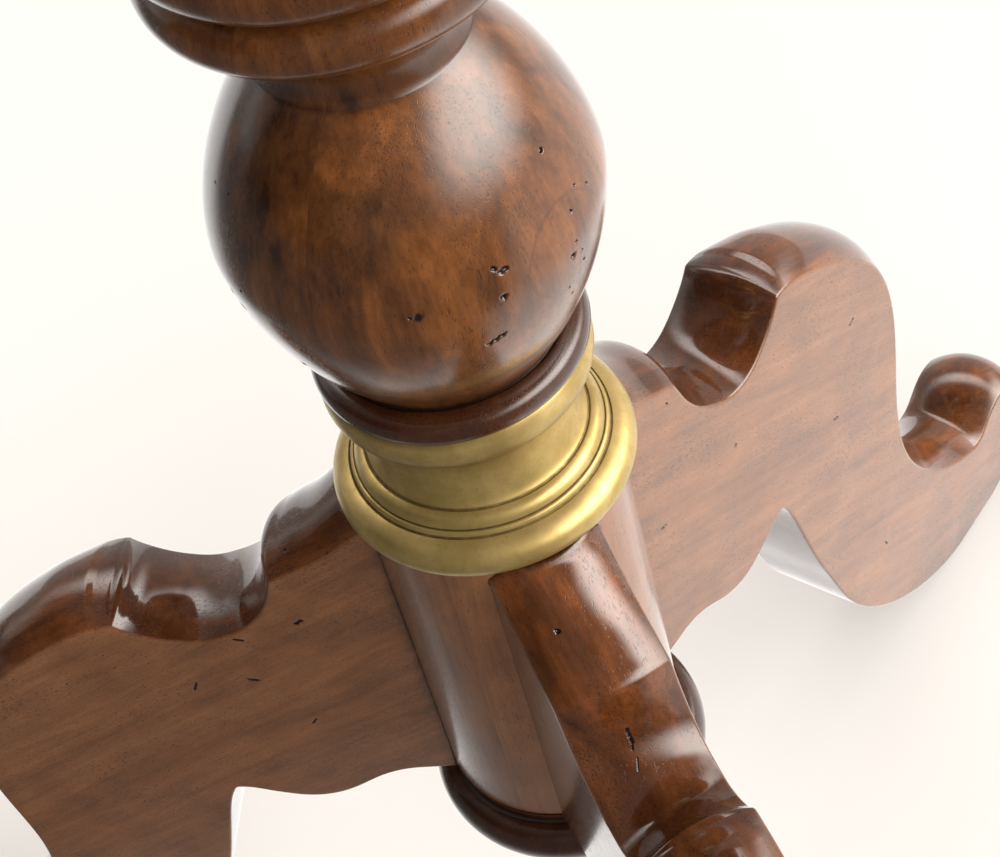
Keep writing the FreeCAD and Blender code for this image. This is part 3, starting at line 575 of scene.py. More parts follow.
UNDER = [(2.42, -3.325), (2.30, -3.37), (2.15, -3.425), (2.00, -3.462), (1.84, -3.458), (1.67, -3.405), (1.50, -3.305), (1.36, -3.22),
         (1.22, -3.165), (1.05, -3.14)]


def crown_top(s):
    return float(np.interp(s, [0.0, 0.95, 1.55, 1.64, 2.2, 2.76, 2.88, 3.30, 4.2, 9.0], [0.20, 0.20, 0.145, 0.09, 0.085, 0.085, 0.12, 0.20, 0.17, 0.12]))


def leg_outline():
    """Dense closed outline in millimetres, outward normals and crown height of each point."""
    items = [R([TOP_CURVE[0]])[0], ("s", R(TOP_CURVE[1:])), ("s", R(NOSE)), ("s", R(KNEE)), ("s", R(TOE)), ("l", R([SOLE_IN])[0]),
             ("s", R(ARCH + [CORNER])), ("s", R(UNDER)), ("l", R([(0.7537, -3.135)])[0]), ("l", R([TOP_CURVE[0]])[0])]
    runs = runs_of(items, 1.15, 3.0)
    P = outline(runs, 1.2, at={0: 0.8, 1: 0.8, 7: 1.6, 8: 1.6}, turn_min=14.0, n=5)
    area = 0.5 * np.sum(P[:, 0] * np.roll(P[:, 1], -1) - np.roll(P[:, 0], -1) * P[:, 1])
    if area < 0:
        P = P[::-1]
    e1 = P - np.roll(P, 1, 0)
    e2 = np.roll(P, -1, 0) - P
    n1 = np.stack([e1[:, 1], -e1[:, 0]], 1) / np.linalg.norm(e1, axis=1, keepdims=True)
    n2 = np.stack([e2[:, 1], -e2[:, 0]], 1) / np.linalg.norm(e2, axis=1, keepdims=True)
    nn = n1 + n2
    nn /= np.linalg.norm(nn, axis=1, keepdims=True)
    miter = 1.0 / np.clip((nn * n1).sum(1), 0.6, 1.0)
    outer = np.vstack([spline(R(TOP_CURVE + NOSE), 0.8), spline(R(KNEE + TOE), 0.8)])
    h = np.zeros(len(P))
    d = np.array([np.hypot(*(outer - p).T).min() for p in P])
    s_, z_ = P[:, 0] / RF, (P[:, 1] - Z_FLANGE) / RF
    for i in range(len(P)):
        if d[i] < 1.5:
            h[i] = crown_top(s_[i]) * RF
    # fades out over the end of the toe and at the inner end
    toe = (s_ > 5.75) & (z_ < -6.46)
    h[toe] *= np.clip((z_[toe] + 6.9325) / (6.9325 - 6.46), 0, 1)
    h[s_ < 0.7545] = 0.0
    h[(z_ < -3.0) & (s_ < 2.6)] = 0.0
    k = 3
    hs = sum(np.roll(h, j) for j in range(-k, k + 1)) / (2 * k + 1)
    return P, nn * miter[:, None], hs


LEG_P, LEG_N, LEG_H = leg_outline()


def inside(poly, q):
    x, y = q[:, 0], q[:, 1]
    c = np.zeros(len(q), bool)
    a, b = poly, np.roll(poly, -1, 0)
    for (x0, y0), (x1, y1) in zip(a, b):
        if y0 == y1:
            continue
        hit = ((y0 > y) != (y1 > y)) & (x < (x1 - x0) * (y - y0) / (y1 - y0) + x0)
        c ^= hit
    return c


SCOOP = spline(R([TOP_CURVE[-1]] + NOSE), 0.8)


def carve(s, t, z, dz_lo, dz_hi, lip_in):
    """Hand work: the scoop is a little deeper on one side, its first arris runs slightly askew, and its lip may sit further in."""
    u = t / LEG_W
    top = np.interp(s, SCOOP[:, 0], SCOOP[:, 1])
    deep = np.exp(-(np.clip(top - z, 0, 999) / 26.0) ** 2)
    win = np.interp(s / RF, [1.56, 1.80, 2.10, 2.45, 2.75, 2.866], [0.0, 0.55, 1.0, 0.9, 0.35, 0.0])
    dz = ((1 - u) / 2 * dz_lo + (1 + u) / 2 * dz_hi) * RF * win * deep
    ds = 0.042 * RF * u * np.clip(1 - np.abs(s / RF - 1.56) / 0.42, 0, 1) ** 0.8 * deep
    move = np.interp(s / RF, [1.75, 2.2, 2.866, 3.0, 3.9], [0.0, 0.30, 1.0, 1.0, 0.0])
    far = np.exp(-(np.clip(zf(-1.2) - 12.0 - z, 0, 999) / 50.0) ** 2)
    return s + ds - lip_in * RF * move * far, z + dz


def leg(name, az, marks_side_lo, marks_side_hi, marks_crown, seed, gofs, dz_lo=0.0, dz_hi=0.0, lip_in=0.0):
    """side_lo is the face at t = -LEG_W, side_hi at t = +LEG_W; their marks are ((s, z), (s, z), radius, depth) in millimetres."""
    W, f, a, a2 = LEG_W, 1.05, 1.05, 1.6
    P, N, H = LEG_P, LEG_N, LEG_H
    n = len(P)
    rows = []
    frac = np.linspace(-1, 1, 17)[1:-1]
    for i in range(n):
        h = H[i]

        def crown(t):
            return h * (1 - abs(t / W) ** 2.2)
        m = 2.2 * h / W
        tb = W - f / math.sqrt(1 + m * m)
        p0, p1, p2 = np.array([W, -f]), np.array([W, 0.0]), np.array([tb, crown(tb)])
        arc = [(1 - u) ** 2 * p0 + 2 * u * (1 - u) * p1 + u * u * p2 for u in np.linspace(0, 1, 6)]
        prof = [(-W, -a2)] + [(-q[0], q[1]) for q in arc] + [(t * tb, crown(t * tb)) for t in frac] + [(q[0], q[1]) for q in reversed(arc)] + [(W, -a2)]
        rows.append(prof)
    rows = np.array(rows)
    k = rows.shape[1]
    T = rows[:, :, 0]
    S = P[:, None, 0] + N[:, None, 0] * rows[:, :, 1]
    Z = P[:, None, 1] + N[:, None, 1] * rows[:, :, 1]
    V = np.stack([S, T, Z], -1).reshape(-1, 3)
    F = []
    for i in range(n):
        j = (i + 1) % n
        for c in range(k - 1):
            F.append([i * k + c, i * k + c + 1, j * k + c + 1, j * k + c])
    loop = np.stack([S[:, 0], Z[:, 0]], 1)
    lo, hi = loop.min(0), loop.max(0)
    g = 3.6
    gx, gz = np.meshgrid(np.arange(lo[0], hi[0], g), np.arange(lo[1], hi[1], g * 0.866))
    gx = gx + (np.arange(gx.shape[0]) % 2)[:, None] * g / 2
    grid = np.stack([gx.ravel(), gz.ravel()], 1)
    V = [tuple(v) for v in V]
    for col, t, marks in ((0, -W, marks_side_lo), (k - 1, W, marks_side_hi)):
        pts = [grid]
        for (ma, mb, r, _d) in marks:
            mm = (np.array(ma) + np.array(mb)) / 2
            ext = r * 1.6 + 0.9 + np.hypot(*(np.array(mb) - np.array(ma))) / 2
            xx, zz = np.meshgrid(np.arange(-ext, ext, 0.5), np.arange(-ext, ext, 0.5))
            q = np.stack([xx.ravel() + mm[0], zz.ravel() + mm[1]], 1)
            q = q[seg_dist(np.c_[q, np.zeros(len(q))], (*ma, 0), (*mb, 0)) < r * 1.6 + 0.8]
            pts.append(q)
        q = np.vstack(pts[::-1])
        q = q[inside(loop, q)]
        dist = np.full(len(q), 1e9)
        for i0 in range(0, len(loop), 64):
            dist = np.minimum(dist, np.sqrt(((q[:, None] - loop[None, i0:i0 + 64]) ** 2).sum(2)).min(1))
        q = q[dist > 1.3]
        # no two points closer than about a third of a millimetre
        q = q[np.sort(np.unique(np.round(q / 0.35), axis=0, return_index=True)[1])]
        v2 = [Vector(p) for p in loop] + [Vector(p) for p in q]
        res = delaunay_2d_cdt(v2, [], [list(range(n))], 1, 1e-5, True)
        ov, ofc, orig = res[0], res[2], res[3]
        o2 = np.array([(p.x, p.y) for p in ov])
        tri_ok = inside(loop, o2[np.array([list(tri) for tri in ofc])].mean(1))
        ofc = [tri for tri, ok in zip(ofc, tri_ok) if ok]
        used = {x for tri in ofc for x in tri}
        remap = {}
        for vi, (p, src) in enumerate(zip(ov, orig)):
            if vi not in used:
                continue
            src = [x for x in src if x < n]
            if src:
                remap[vi] = src[0] * k + col
            else:
                remap[vi] = len(V)
                V.append((p.x, t, p.y))
        for tri in ofc:
            ids = [remap[x] for x in tri]
            if col:
                ids = ids[::-1]
            F.append(ids)
    V = np.array(V)
    wob = wobble(V * np.array([1, 1.4, 1]), seed, 0.10, 55.0)
    side = np.abs(np.abs(V[:, 1]) - W) < 1e-6
    V[:, 1] -= np.sign(V[:, 1]) * np.where(side, 0.12 + np.abs(wob) * 0.6, 0.12)
    ctr = ~side
    V[ctr, 2] += wob[ctr] * 0.5
    # inner end follows the hub, top stays under the collar
    s, t, z = V.T.copy()
    s, z = carve(s, t, z, dz_lo, dz_hi, lip_in)
    w = np.clip((44.0 - s) / (44.0 - 0.7537 * RF), 0, 1)
    s = s + (np.sqrt(np.maximum((HUB_R - 0.25) ** 2 - t ** 2, 1.0)) - 0.7537 * RF) * w
    z = np.where(s < 45.0, np.minimum(z, zf(-0.137)), z)
    c, sn = math.cos(math.radians(az)), math.sin(math.radians(az))
    XYZ = np.stack([s * c - t * sn, s * sn + t * c, z], 1)
    ob = mesh_object(name + "_carved", XYZ, F)

    def world(sz, tt):
        return (sz[0] * c - tt * sn, sz[0] * sn + tt * c, sz[1])
    marks = [(world(p, -W), world(q_, -W), r, d) for p, q_, r, d in marks_side_lo] + [(world(p, W), world(q_, W), r, d) for p, q_, r, d in marks_side_hi]
    distress(ob, snapped(ob, marks + list(marks_crown)))
    co = coords(ob)
    rho = np.hypot(co[:, 0], co[:, 1])
    ss = co[:, 0] * c + co[:, 1] * sn
    tt = -co[:, 0] * sn + co[:, 1] * c
    zz = co[:, 2]
    # darker at the joint with the hub, and painted contact shade in the 1.6 mm band under the collar's flange
    cav = np.exp(-np.clip(rho - HUB_R, 0, 99) / 1.5)
    cav = np.maximum(cav, np.clip(1 - (zf(-0.13) - zz) / 1.6, 0, 1) * (rho < 46.0))
    set_attr(ob, "cavity", cav)
    # painted shade in the notch and under the lip, and a darker band within about 30 mm of the floor
    q = np.stack([ss, zz], 1)
    d = np.full(len(q), 1e9)
    notch = spline(R(NOSE[1:]), 1.0)
    notch = notch + np.array([-lip_in * RF, 0.0]) * np.interp(notch[:, :1] / RF, [1.75, 2.2, 2.866], [0.0, 0.30, 1.0])
    for p in notch:
        d = np.minimum(d, np.hypot(*(q - p).T))
    top_face = np.clip((W - 0.12 - np.abs(tt)) / 1.0, 0, 1)
    set_attr(ob, "side", 1.0 - top_face)
    painted_shade_and_stain = np.clip(1.0 - np.clip(d - 3.0, 0, 99) / 5.0, 0, 1) * top_face * np.interp(ss / RF, [1.5, 1.7, 2.3, 2.75, 2.9], [0.1, 0.5, 0.55, 1.0, 0.9])
    painted_shade_and_stain = np.maximum(painted_shade_and_stain, 0.8 * np.clip(1 - np.abs(co[:, 2] - 4.0) / 30.0, 0, 1))
    set_attr(ob, "painted_shade_and_stain", painted_shade_and_stain)
    ga = math.radians(30)
    along, perp = ss * math.cos(ga) - zz * math.sin(ga), ss * math.sin(ga) + zz * math.cos(ga)
    set_attr(ob, "wco", (np.stack([tt, perp, along], 1) + np.array(gofs)) * MM)
    mod = ob.modifiers.new("normals", "WEIGHTED_NORMAL")
    mod.mode, mod.weight, mod.keep_sharp = "FACE_AREA", 50, False
    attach(ob, "pedestal")
    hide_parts(name)
    return ob


def rnd_leg_marks(seed, count):
    rng = np.random.default_rng(seed)
    out = []
    loop = LEG_P - LEG_N * 4.0
    while len(out) < count:
        p = np.array([rng.uniform(45, 285), rng.uniform(15, 290)])
        if not inside(loop, p[None])[0]:
            continue
        if rng.random() < 0.5:
            r = rng.uniform(0.4, 0.9)
            out.append((tuple(p), tuple(p), r, r * 0.7))
        else:
            L, ang = rng.uniform(2, 5), rng.uniform(-1.2, 0.2)
            v = np.array([math.cos(ang), math.sin(ang)]) * L / 2
            out.append((tuple(p - v), tuple(p + v), rng.uniform(0.45, 0.8), rng.uniform(0.25, 0.5)))
    return out


leg_front = leg("leg_front", -90.0, rnd_leg_marks(31, 5), rnd_leg_marks(32, 6),
                [((-7.7, -55.8, 291.6), (-7.7, -55.8, 291.6), 1.15, 0.9), ((-1.9, -79.6, 266.5), (-1.7, -81.0, 262.4), 0.7, 0.6),
                 ((-1.7, -80.8, 263.0), (-2.6, -82.0, 260.9), 0.5, 0.4), ((-2.2, -82.8, 258.0), (-3.3, -83.8, 254.0), 0.32, 0.2)], 41, (300.0, 0.0, 0.0), 0.0, 0.07, 0.285)
leg_right = leg("leg_right", 30.0, rnd_leg_marks(33, 6), rnd_leg_marks(34, 6), [], 42, (600.0, 90.0, 0.0), -0.07, -0.03)
leg_left = leg("leg_left", 150.0, rnd_leg_marks(35, 6),
               [((68.5, 255.0), (66.4, 256.6), 0.9, 0.6), ((87.5, 247.6), (90.0, 248.6), 0.7, 0.4), ((88.5, 226.0), (91.5, 227.0), 0.8, 0.5),
                ((75.2, 203.0), (76.8, 200.8), 0.55, 0.25)] + rnd_leg_marks(36, 2),
               [((-62.3, 22.5, 284.0), (-62.3, 22.5, 284.0), 0.7, 0.45)], 43, (900.0, 30.0, 0.0), 0.06, 0.08)

# ------------------------------------------------------------------ round top with a thumb-moulded edge
z0, z1 = Z_UNDER, TABLE_H
top_items = ([(0.0, z0), ("l", (TOP_R - 14.0, z0))]
             + [("s", [(TOP_R - 8.0, z0 + 1.2), (TOP_R - 3.5, z0 + 4.0), (TOP_R - 2.0, z0 + 7.0)])]
             + [("l", (TOP_R - 2.0, z0 + 8.0)), ("l", (TOP_R - 0.6, z0 + 8.0))]
             + [("s", [(TOP_R - 0.12, z0 + 10.5), (TOP_R - 0.7, z0 + 14.5), (TOP_R - 3.0, z0 + 18.0), (TOP_R - 7.0, z0 + 20.4), (TOP_R - 11.0, z0 + 21.0)])]
             + [("l", (TOP_R - 11.0, z1 - 0.08)), ("l", (0.0, z1 - 0.08)), ("l", (0.0, z0))])


def rnd_top_marks(seed, count):
    rng = np.random.default_rng(seed)
    out = []
    while len(out) < count:
        rr, az = TOP_R * math.sqrt(rng.random()), rng.uniform(0, 2 * math.pi)
        if rr > TOP_R - 15:
            continue
        p = np.array([rr * math.cos(az), rr * math.sin(az), z1])
        u = rng.random()
        if u < 0.6:
            for _ in range(rng.integers(1, 4)):
                q = p + np.array([rng.normal(0, 4), rng.normal(0, 4), 0])
                r = rng.uniform(0.45, 0.9)
                out.append((tuple(q), tuple(q), r, r * 0.8))
        else:
            L, ang = rng.uniform(3, 14), rng.uniform(0, math.pi)
            v = np.array([math.cos(ang), math.sin(ang), 0]) * L / 2
            out.append((tuple(p - v), tuple(p + v), rng.uniform(0.5, 0.9), rng.uniform(0.25, 0.45)))
    return out


top = turned("table_top_board", "top", top_items, 0.9, 448, 0.35, node="table_top", wob=0.0, seed=14, long_step=11.0,
             marks=rnd_top_marks(21, 60), at={0: 0.5})
co = coords(top)
board_w = 110.0
board = np.floor((co[:, 1] + 330.0) / board_w)
set_attr(top, "wco", np.stack([co[:, 1], co[:, 2] * 1.0, co[:, 0]], 1) * MM)
rim = np.hypot(co[:, 0], co[:, 1])
set_attr(top, "painted_shade_and_stain", np.clip((rim - (TOP_R - 14.0)) / 4.0, 0, 1) * 0.35)

# ------------------------------------------------------------------ materials
# studio set-up: what the floor gives back, and the soft panels (azimuth, elevation, half widths in degrees, brightness, edge)
FLOOR_SEEN, FLOOR_AZ, FLOOR_T0, FLOOR_T1, FLOOR_LO, FLOOR_HI = 0.29, 32.0, -0.22, 0.05, 0.10, 1.45
WORLD_BASE, WORLD_TOP = 0.04, 0.40
FILL_AZ, FILL_EL, FILL_W = -102.0, 26.0, 36.0
PANELS = [(-34.0, 24.0, 36.0, 17.0, 12.0, 2.2), (52.0, 65.0, 44.0, 11.0, 7.0, 1.8), (60.0, 14.0, 62.0, 26.0, 0.9, 1.5), (-128.0, 8.0, 16.0, 14.0, 0.3, 1.0)]


def new_mat(name):
    m = bpy.data.materials.new(name)
    m.use_nodes = True
    nt = m.node_tree
    nt.nodes.clear()
    return m, nt


class NB:
    def __init__(self, nt):
        self.nt = nt

    def n(self, kind, **kw):
        node = self.nt.nodes.new(kind)
        for k, v in kw.items():
            setattr(node, k, v)
        return node

    def link(self, a, b):
        self.nt.links.new(a, b)

    def val(self, sock, v):
        if hasattr(v, "is_output") or isinstance(v, bpy.types.NodeSocket):
            self.link(v, sock)
        else:
            sock.default_value = v

    def math(self, op, a, b=0.0, c=0.0, clamp=False):
        m = self.n("ShaderNodeMath", operation=op, use_clamp=clamp)
        self.val(m.inputs[0], a)
        self.val(m.inputs[1], b)
        if op in ("MULTIPLY_ADD", "SMOOTH_MIN", "SMOOTH_MAX"):
            self.val(m.inputs[2], c)
        return m.outputs[0]

    def ramp(self, fac, a, b, lo=0.0, hi=1.0, smooth=True):
        m = self.n("ShaderNodeMapRange", interpolation_type="SMOOTHSTEP" if smooth else "LINEAR")
        self.val(m.inputs["Value"], fac)
        m.inputs["From Min"].default_value, m.inputs["From Max"].default_value = a, b
        m.inputs["To Min"].default_value, m.inputs["To Max"].default_value = lo, hi
        return m.outputs["Result"]

    def mix(self, fac, a, b, kind="MIX"):
        m = self.n("ShaderNodeMix", data_type="RGBA", blend_type=kind)
        self.val(m.inputs[0], fac)
        self.val(m.inputs[6], a if not isinstance(a, tuple) or len(a) == 4 else (*a, 1))
        self.val(m.inputs[7], b if not isinstance(b, tuple) or len(b) == 4 else (*b, 1))
        return m.outputs[2]

    def attr(self, name, out="Fac"):
        a = self.n("ShaderNodeAttribute", attribute_name=name)
        return a.outputs[out]

    def scaled(self, vec, s, ofs=(0, 0, 0)):
        m = self.n("ShaderNodeMapping")
        self.link(vec, m.inputs["Vector"])
        m.inputs["Scale"].default_value = s
        m.inputs["Location"].default_value = ofs
        return m.outputs[0]

    def noise(self, vec, scale, detail=3.0, rough=0.5, dist=0.0, out="Fac"):
        m = self.n("ShaderNodeTexNoise")
        self.link(vec, m.inputs["Vector"])
        m.inputs["Scale"].default_value = scale
        m.inputs["Detail"].default_value = detail
        m.inputs["Roughness"].default_value = rough
        m.inputs["Distortion"].default_value = dist
        return m.outputs[out]


def wood(name, use_attr=True, seams=False, grain_axis="Z", dark=(0.021, 0.0068, 0.0018), mid=(0.086, 0.0275, 0.0066), warm=(0.182, 0.0610, 0.0148), boards=False,
         coat=1.0, coat_rough=0.10, sheen_rough=0.46, pore=1.0, streak=1.0, mottle=1.0, speck=0.12):
    m, nt = new_mat(name)
    b = NB(nt)
    if use_attr:
        v = b.attr("wco", "Vector")
    else:
        g = b.n("ShaderNodeNewGeometry").outputs["Position"]
        mp = b.n("ShaderNodeMapping")
        b.link(g, mp.inputs["Vector"])
        if grain_axis == "X":
            mp.inputs["Rotation"].default_value = (0, math.radians(90), 0)
        elif grain_axis == "Y":
            mp.inputs["Rotation"].default_value = (math.radians(90), 0, 0)
        v = mp.outputs[0]
    edge = 0.0
    if boards:
        sep = b.n("ShaderNodeSeparateXYZ")
        b.link(v, sep.inputs[0])
        u = b.math("DIVIDE", b.math("ADD", sep.outputs[0], 0.330), 0.110)
        idx = b.math("FLOOR", u)
        fr = b.math("FRACT", u)
        edge = b.math("SUBTRACT", 1.0, b.ramp(b.math("MINIMUM", fr, b.math("SUBTRACT", 1.0, fr)), 0.0, 0.007), clamp=True)
        wn = b.n("ShaderNodeTexWhiteNoise", noise_dimensions="1D")
        b.link(idx, wn.inputs["W"])
        comb = b.n("ShaderNodeCombineXYZ")
        b.link(b.math("MULTIPLY", idx, 3.7), comb.inputs[0])
        b.link(b.math("MULTIPLY", idx, 1.3), comb.inputs[1])
        b.link(b.math("MULTIPLY", wn.outputs["Value"], 5.0), comb.inputs[2])
        vm = b.n("ShaderNodeVectorMath", operation="ADD")
        b.link(v, vm.inputs[0])
        b.link(comb.outputs[0], vm.inputs[1])
        v = vm.outputs[0]
        tone = b.math("MULTIPLY", b.math("SUBTRACT", wn.outputs["Value"], 0.5), 0.28)
    elif seams:
        # the blank is glued from thick boards: the colour steps a little at each upright joint
        g0 = b.n("ShaderNodeNewGeometry").outputs["Position"]
        dn = b.n("ShaderNodeVectorMath", operation="DOT_PRODUCT")
        b.link(g0, dn.inputs[0])
        dn.inputs[1].default_value = (0.495, -0.869, 0.0)
        u = b.math("DIVIDE", b.math("ADD", dn.outputs["Value"], 0.0304), 0.040)
        idx = b.math("FLOOR", u)
        fr = b.math("FRACT", u)
        edge = b.math("MULTIPLY", b.math("SUBTRACT", 1.0, b.ramp(b.math("MINIMUM", fr, b.math("SUBTRACT", 1.0, fr)), 0.0, 0.006), clamp=True), 0.30)
        comb = b.n("ShaderNodeCombineXYZ")
        b.link(b.math("MULTIPLY", idx, 0.37), comb.inputs[0])
        b.link(b.math("MULTIPLY", idx, 0.13), comb.inputs[1])
        b.link(b.math("MULTIPLY", idx, 0.29), comb.inputs[2])
        vm = b.n("ShaderNodeVectorMath", operation="ADD")
        b.link(v, vm.inputs[0])
        b.link(comb.outputs[0], vm.inputs[1])
        v = vm.outputs[0]
        tone = b.math("MULTIPLY", b.math("SUBTRACT", idx, 1.0), 0.09)
        tone = b.math("MINIMUM", tone, 0.0)
    else:
        tone = 0.0
    # growth-ring figure: long soft bands
    fig = b.noise(b.scaled(v, (1.0, 1.0, 0.10)), 130.0, 4.0, 0.55, 0.6)
    fine = b.noise(b.scaled(v, (1.0, 1.0, 0.07)), 620.0, 3.0, 0.6)
    blot = b.noise(v, 38.0, 4.0, 0.58, 0.5)
    blot2 = b.noise(b.scaled(v, (1.0, 1.0, 0.7), (3.1, 1.7, 0.4)), 105.0, 4.0, 0.6, 0.5)
    t = b.math("ADD", b.math("MULTIPLY", b.math("SUBTRACT", fig, 0.5), 1.15 * streak), b.math("MULTIPLY", b.math("SUBTRACT", blot, 0.5), 0.75 * mottle))
    t = b.math("ADD", t, b.math("MULTIPLY", b.math("SUBTRACT", blot2, 0.5), 0.60 * mottle))
    t = b.math("ADD", t, b.math("MULTIPLY", b.math("SUBTRACT", fine, 0.5), 0.5 * streak))
    t = b.math("ADD", t, tone)
    if use_attr:
        t = b.math("ADD", t, b.attr("tone"))
    t = b.math("ADD", t, 0.5)
    r = b.n("ShaderNodeValToRGB")
    b.link(t, r.inputs[0])
    cr = r.color_ramp
    cr.elements[0].position, cr.elements[0].color = 0.02, (*dark, 1)
    cr.elements[1].position, cr.elements[1].color = 0.98, (*warm, 1)
    e = cr.elements.new(0.48)
    e.color = (*mid, 1)
    col = r.outputs[0]
    if use_attr:
        # flat faces (the side attribute) get a lighter, browner, flatter ramp than the shaped ones
        r2 = b.n("ShaderNodeValToRGB")
        b.link(b.math("MULTIPLY_ADD", b.math("SUBTRACT", t, 0.5), 0.62, 0.52), r2.inputs[0])
        c2 = r2.color_ramp
        c2.elements[0].position, c2.elements[0].color = 0.02, (0.040, 0.0150, 0.0058, 1)
        c2.elements[1].position, c2.elements[1].color = 0.98, (0.240, 0.1010, 0.0410, 1)
        e = c2.elements.new(0.48)
        e.color = (0.132, 0.0535, 0.0212, 1)
        col = b.mix(b.attr("side"), col, r2.outputs[0])
    # open pores: short dark dashes along the grain
    p1 = b.noise(b.scaled(v, (1.0, 1.0, 0.20)), 2300.0, 1.0, 0.5)
    dens = b.noise(b.scaled(v, (1.0, 1.0, 0.4), (7.7, 2.1, 5.0)), 70.0, 2.0, 0.5)
    thr = b.math("MULTIPLY_ADD", dens, -0.30, 0.80)
    pm = b.ramp(b.math("SUBTRACT", p1, thr), -0.012, 0.045)
    pm = b.math("MULTIPLY", pm, pore)
    # fine specks of glaze
    p2 = b.noise(b.scaled(v, (1, 1, 0.7), (1.0, 4.0, 2.0)), 2100.0, 2.0, 0.6)
    painted_shade_and_stain = b.attr("painted_shade_and_stain") if use_attr else 0.0
    mark = b.attr("mark") if use_attr else 0.0
    cav = b.attr("cavity") if use_attr else 0.0
    sp = b.ramp(p2, 0.56, 0.66)
    col = b.mix(b.math("MULTIPLY", b.math("MULTIPLY_ADD", painted_shade_and_stain, 0.55, speck) if use_attr else 0.1, sp), col, (0.010, 0.0035, 0.0022))
    col = b.mix(b.math("MULTIPLY", pm, 0.78), col, (0.009, 0.003, 0.002))
    if use_attr:
        # painted shade on the ring under the ball, the neck, the end rings, the disc, the drop, the legs' notches and
        # the band at the feet, and the top rim's darker stain, broken up by the mottle
        shade_and_stain_amount = b.math("MULTIPLY", painted_shade_and_stain, b.ramp(blot2, 0.30, 0.70, 0.45, 1.0), clamp=True)
        col = b.mix(b.math("MULTIPLY", shade_and_stain_amount, 0.84), col, (0.018, 0.0045, 0.0018))
        # darker in the turned profiles' hollows and at the leg's joint with the hub; the band just under the collar's
        # flange is painted contact shade
        cvn = b.math("MULTIPLY", cav, b.ramp(b.noise(v, 240.0, 3.0), 0.25, 0.6, 0.65, 1.0), clamp=True)
        col = b.mix(b.math("MULTIPLY", cvn, 0.86), col, (0.0085, 0.003, 0.002))
        halo = b.ramp(mark, 0.0, 0.45, 0.0, 0.5)
        col = b.mix(halo, col, (0.035, 0.012, 0.006))
        col = b.mix(b.ramp(mark, 0.22, 0.62), col, (0.0035, 0.002, 0.0015))
    if boards or seams:
        col = b.mix(b.math("MULTIPLY", edge, 0.85), col, (0.010, 0.0035, 0.002))
    bs = b.n("ShaderNodeBsdfPrincipled")
    b.link(col, bs.inputs["Base Color"])
    rough = b.ramp(blot2, 0.3, 0.7, sheen_rough - 0.06, sheen_rough + 0.08)
    b.link(rough, bs.inputs["Roughness"])
    bs.inputs["IOR"].default_value = 1.5
    bs.inputs["Specular IOR Level"].default_value = 0.04
    bs.inputs["Coat Weight"].default_value = coat
    bs.inputs["Coat Roughness"].default_value = coat_rough
    bs.inputs["Coat IOR"].default_value = 1.5
    wav = b.noise(b.scaled(v, (1, 1, 0.5)), 110.0, 2.0, 0.5)
    bump1 = b.n("ShaderNodeBump")
    bump1.inputs["Strength"].default_value = 0.5
    bump1.inputs["Distance"].default_value = 0.00012
    hgt = b.math("MULTIPLY_ADD", pm, -1.0, b.math("MULTIPLY", fine, 0.35))
    if boards or seams:
        hgt = b.math("MULTIPLY_ADD", edge, -2.5, hgt)
    b.link(hgt, bump1.inputs["Height"])
    b.link(bump1.outputs[0], bs.inputs["Normal"])
    bump2 = b.n("ShaderNodeBump")
    bump2.inputs["Strength"].default_value = 0.42
    bump2.inputs["Distance"].default_value = 0.00010
    b.link(b.math("MULTIPLY_ADD", pm, -0.7, b.math("MULTIPLY", wav, 0.9)), bump2.inputs["Height"])
    b.link(bump2.outputs[0], bs.inputs["Coat Normal"])
    out = b.n("ShaderNodeOutputMaterial")
    b.link(bs.outputs[0], out.inputs[0])
    return m


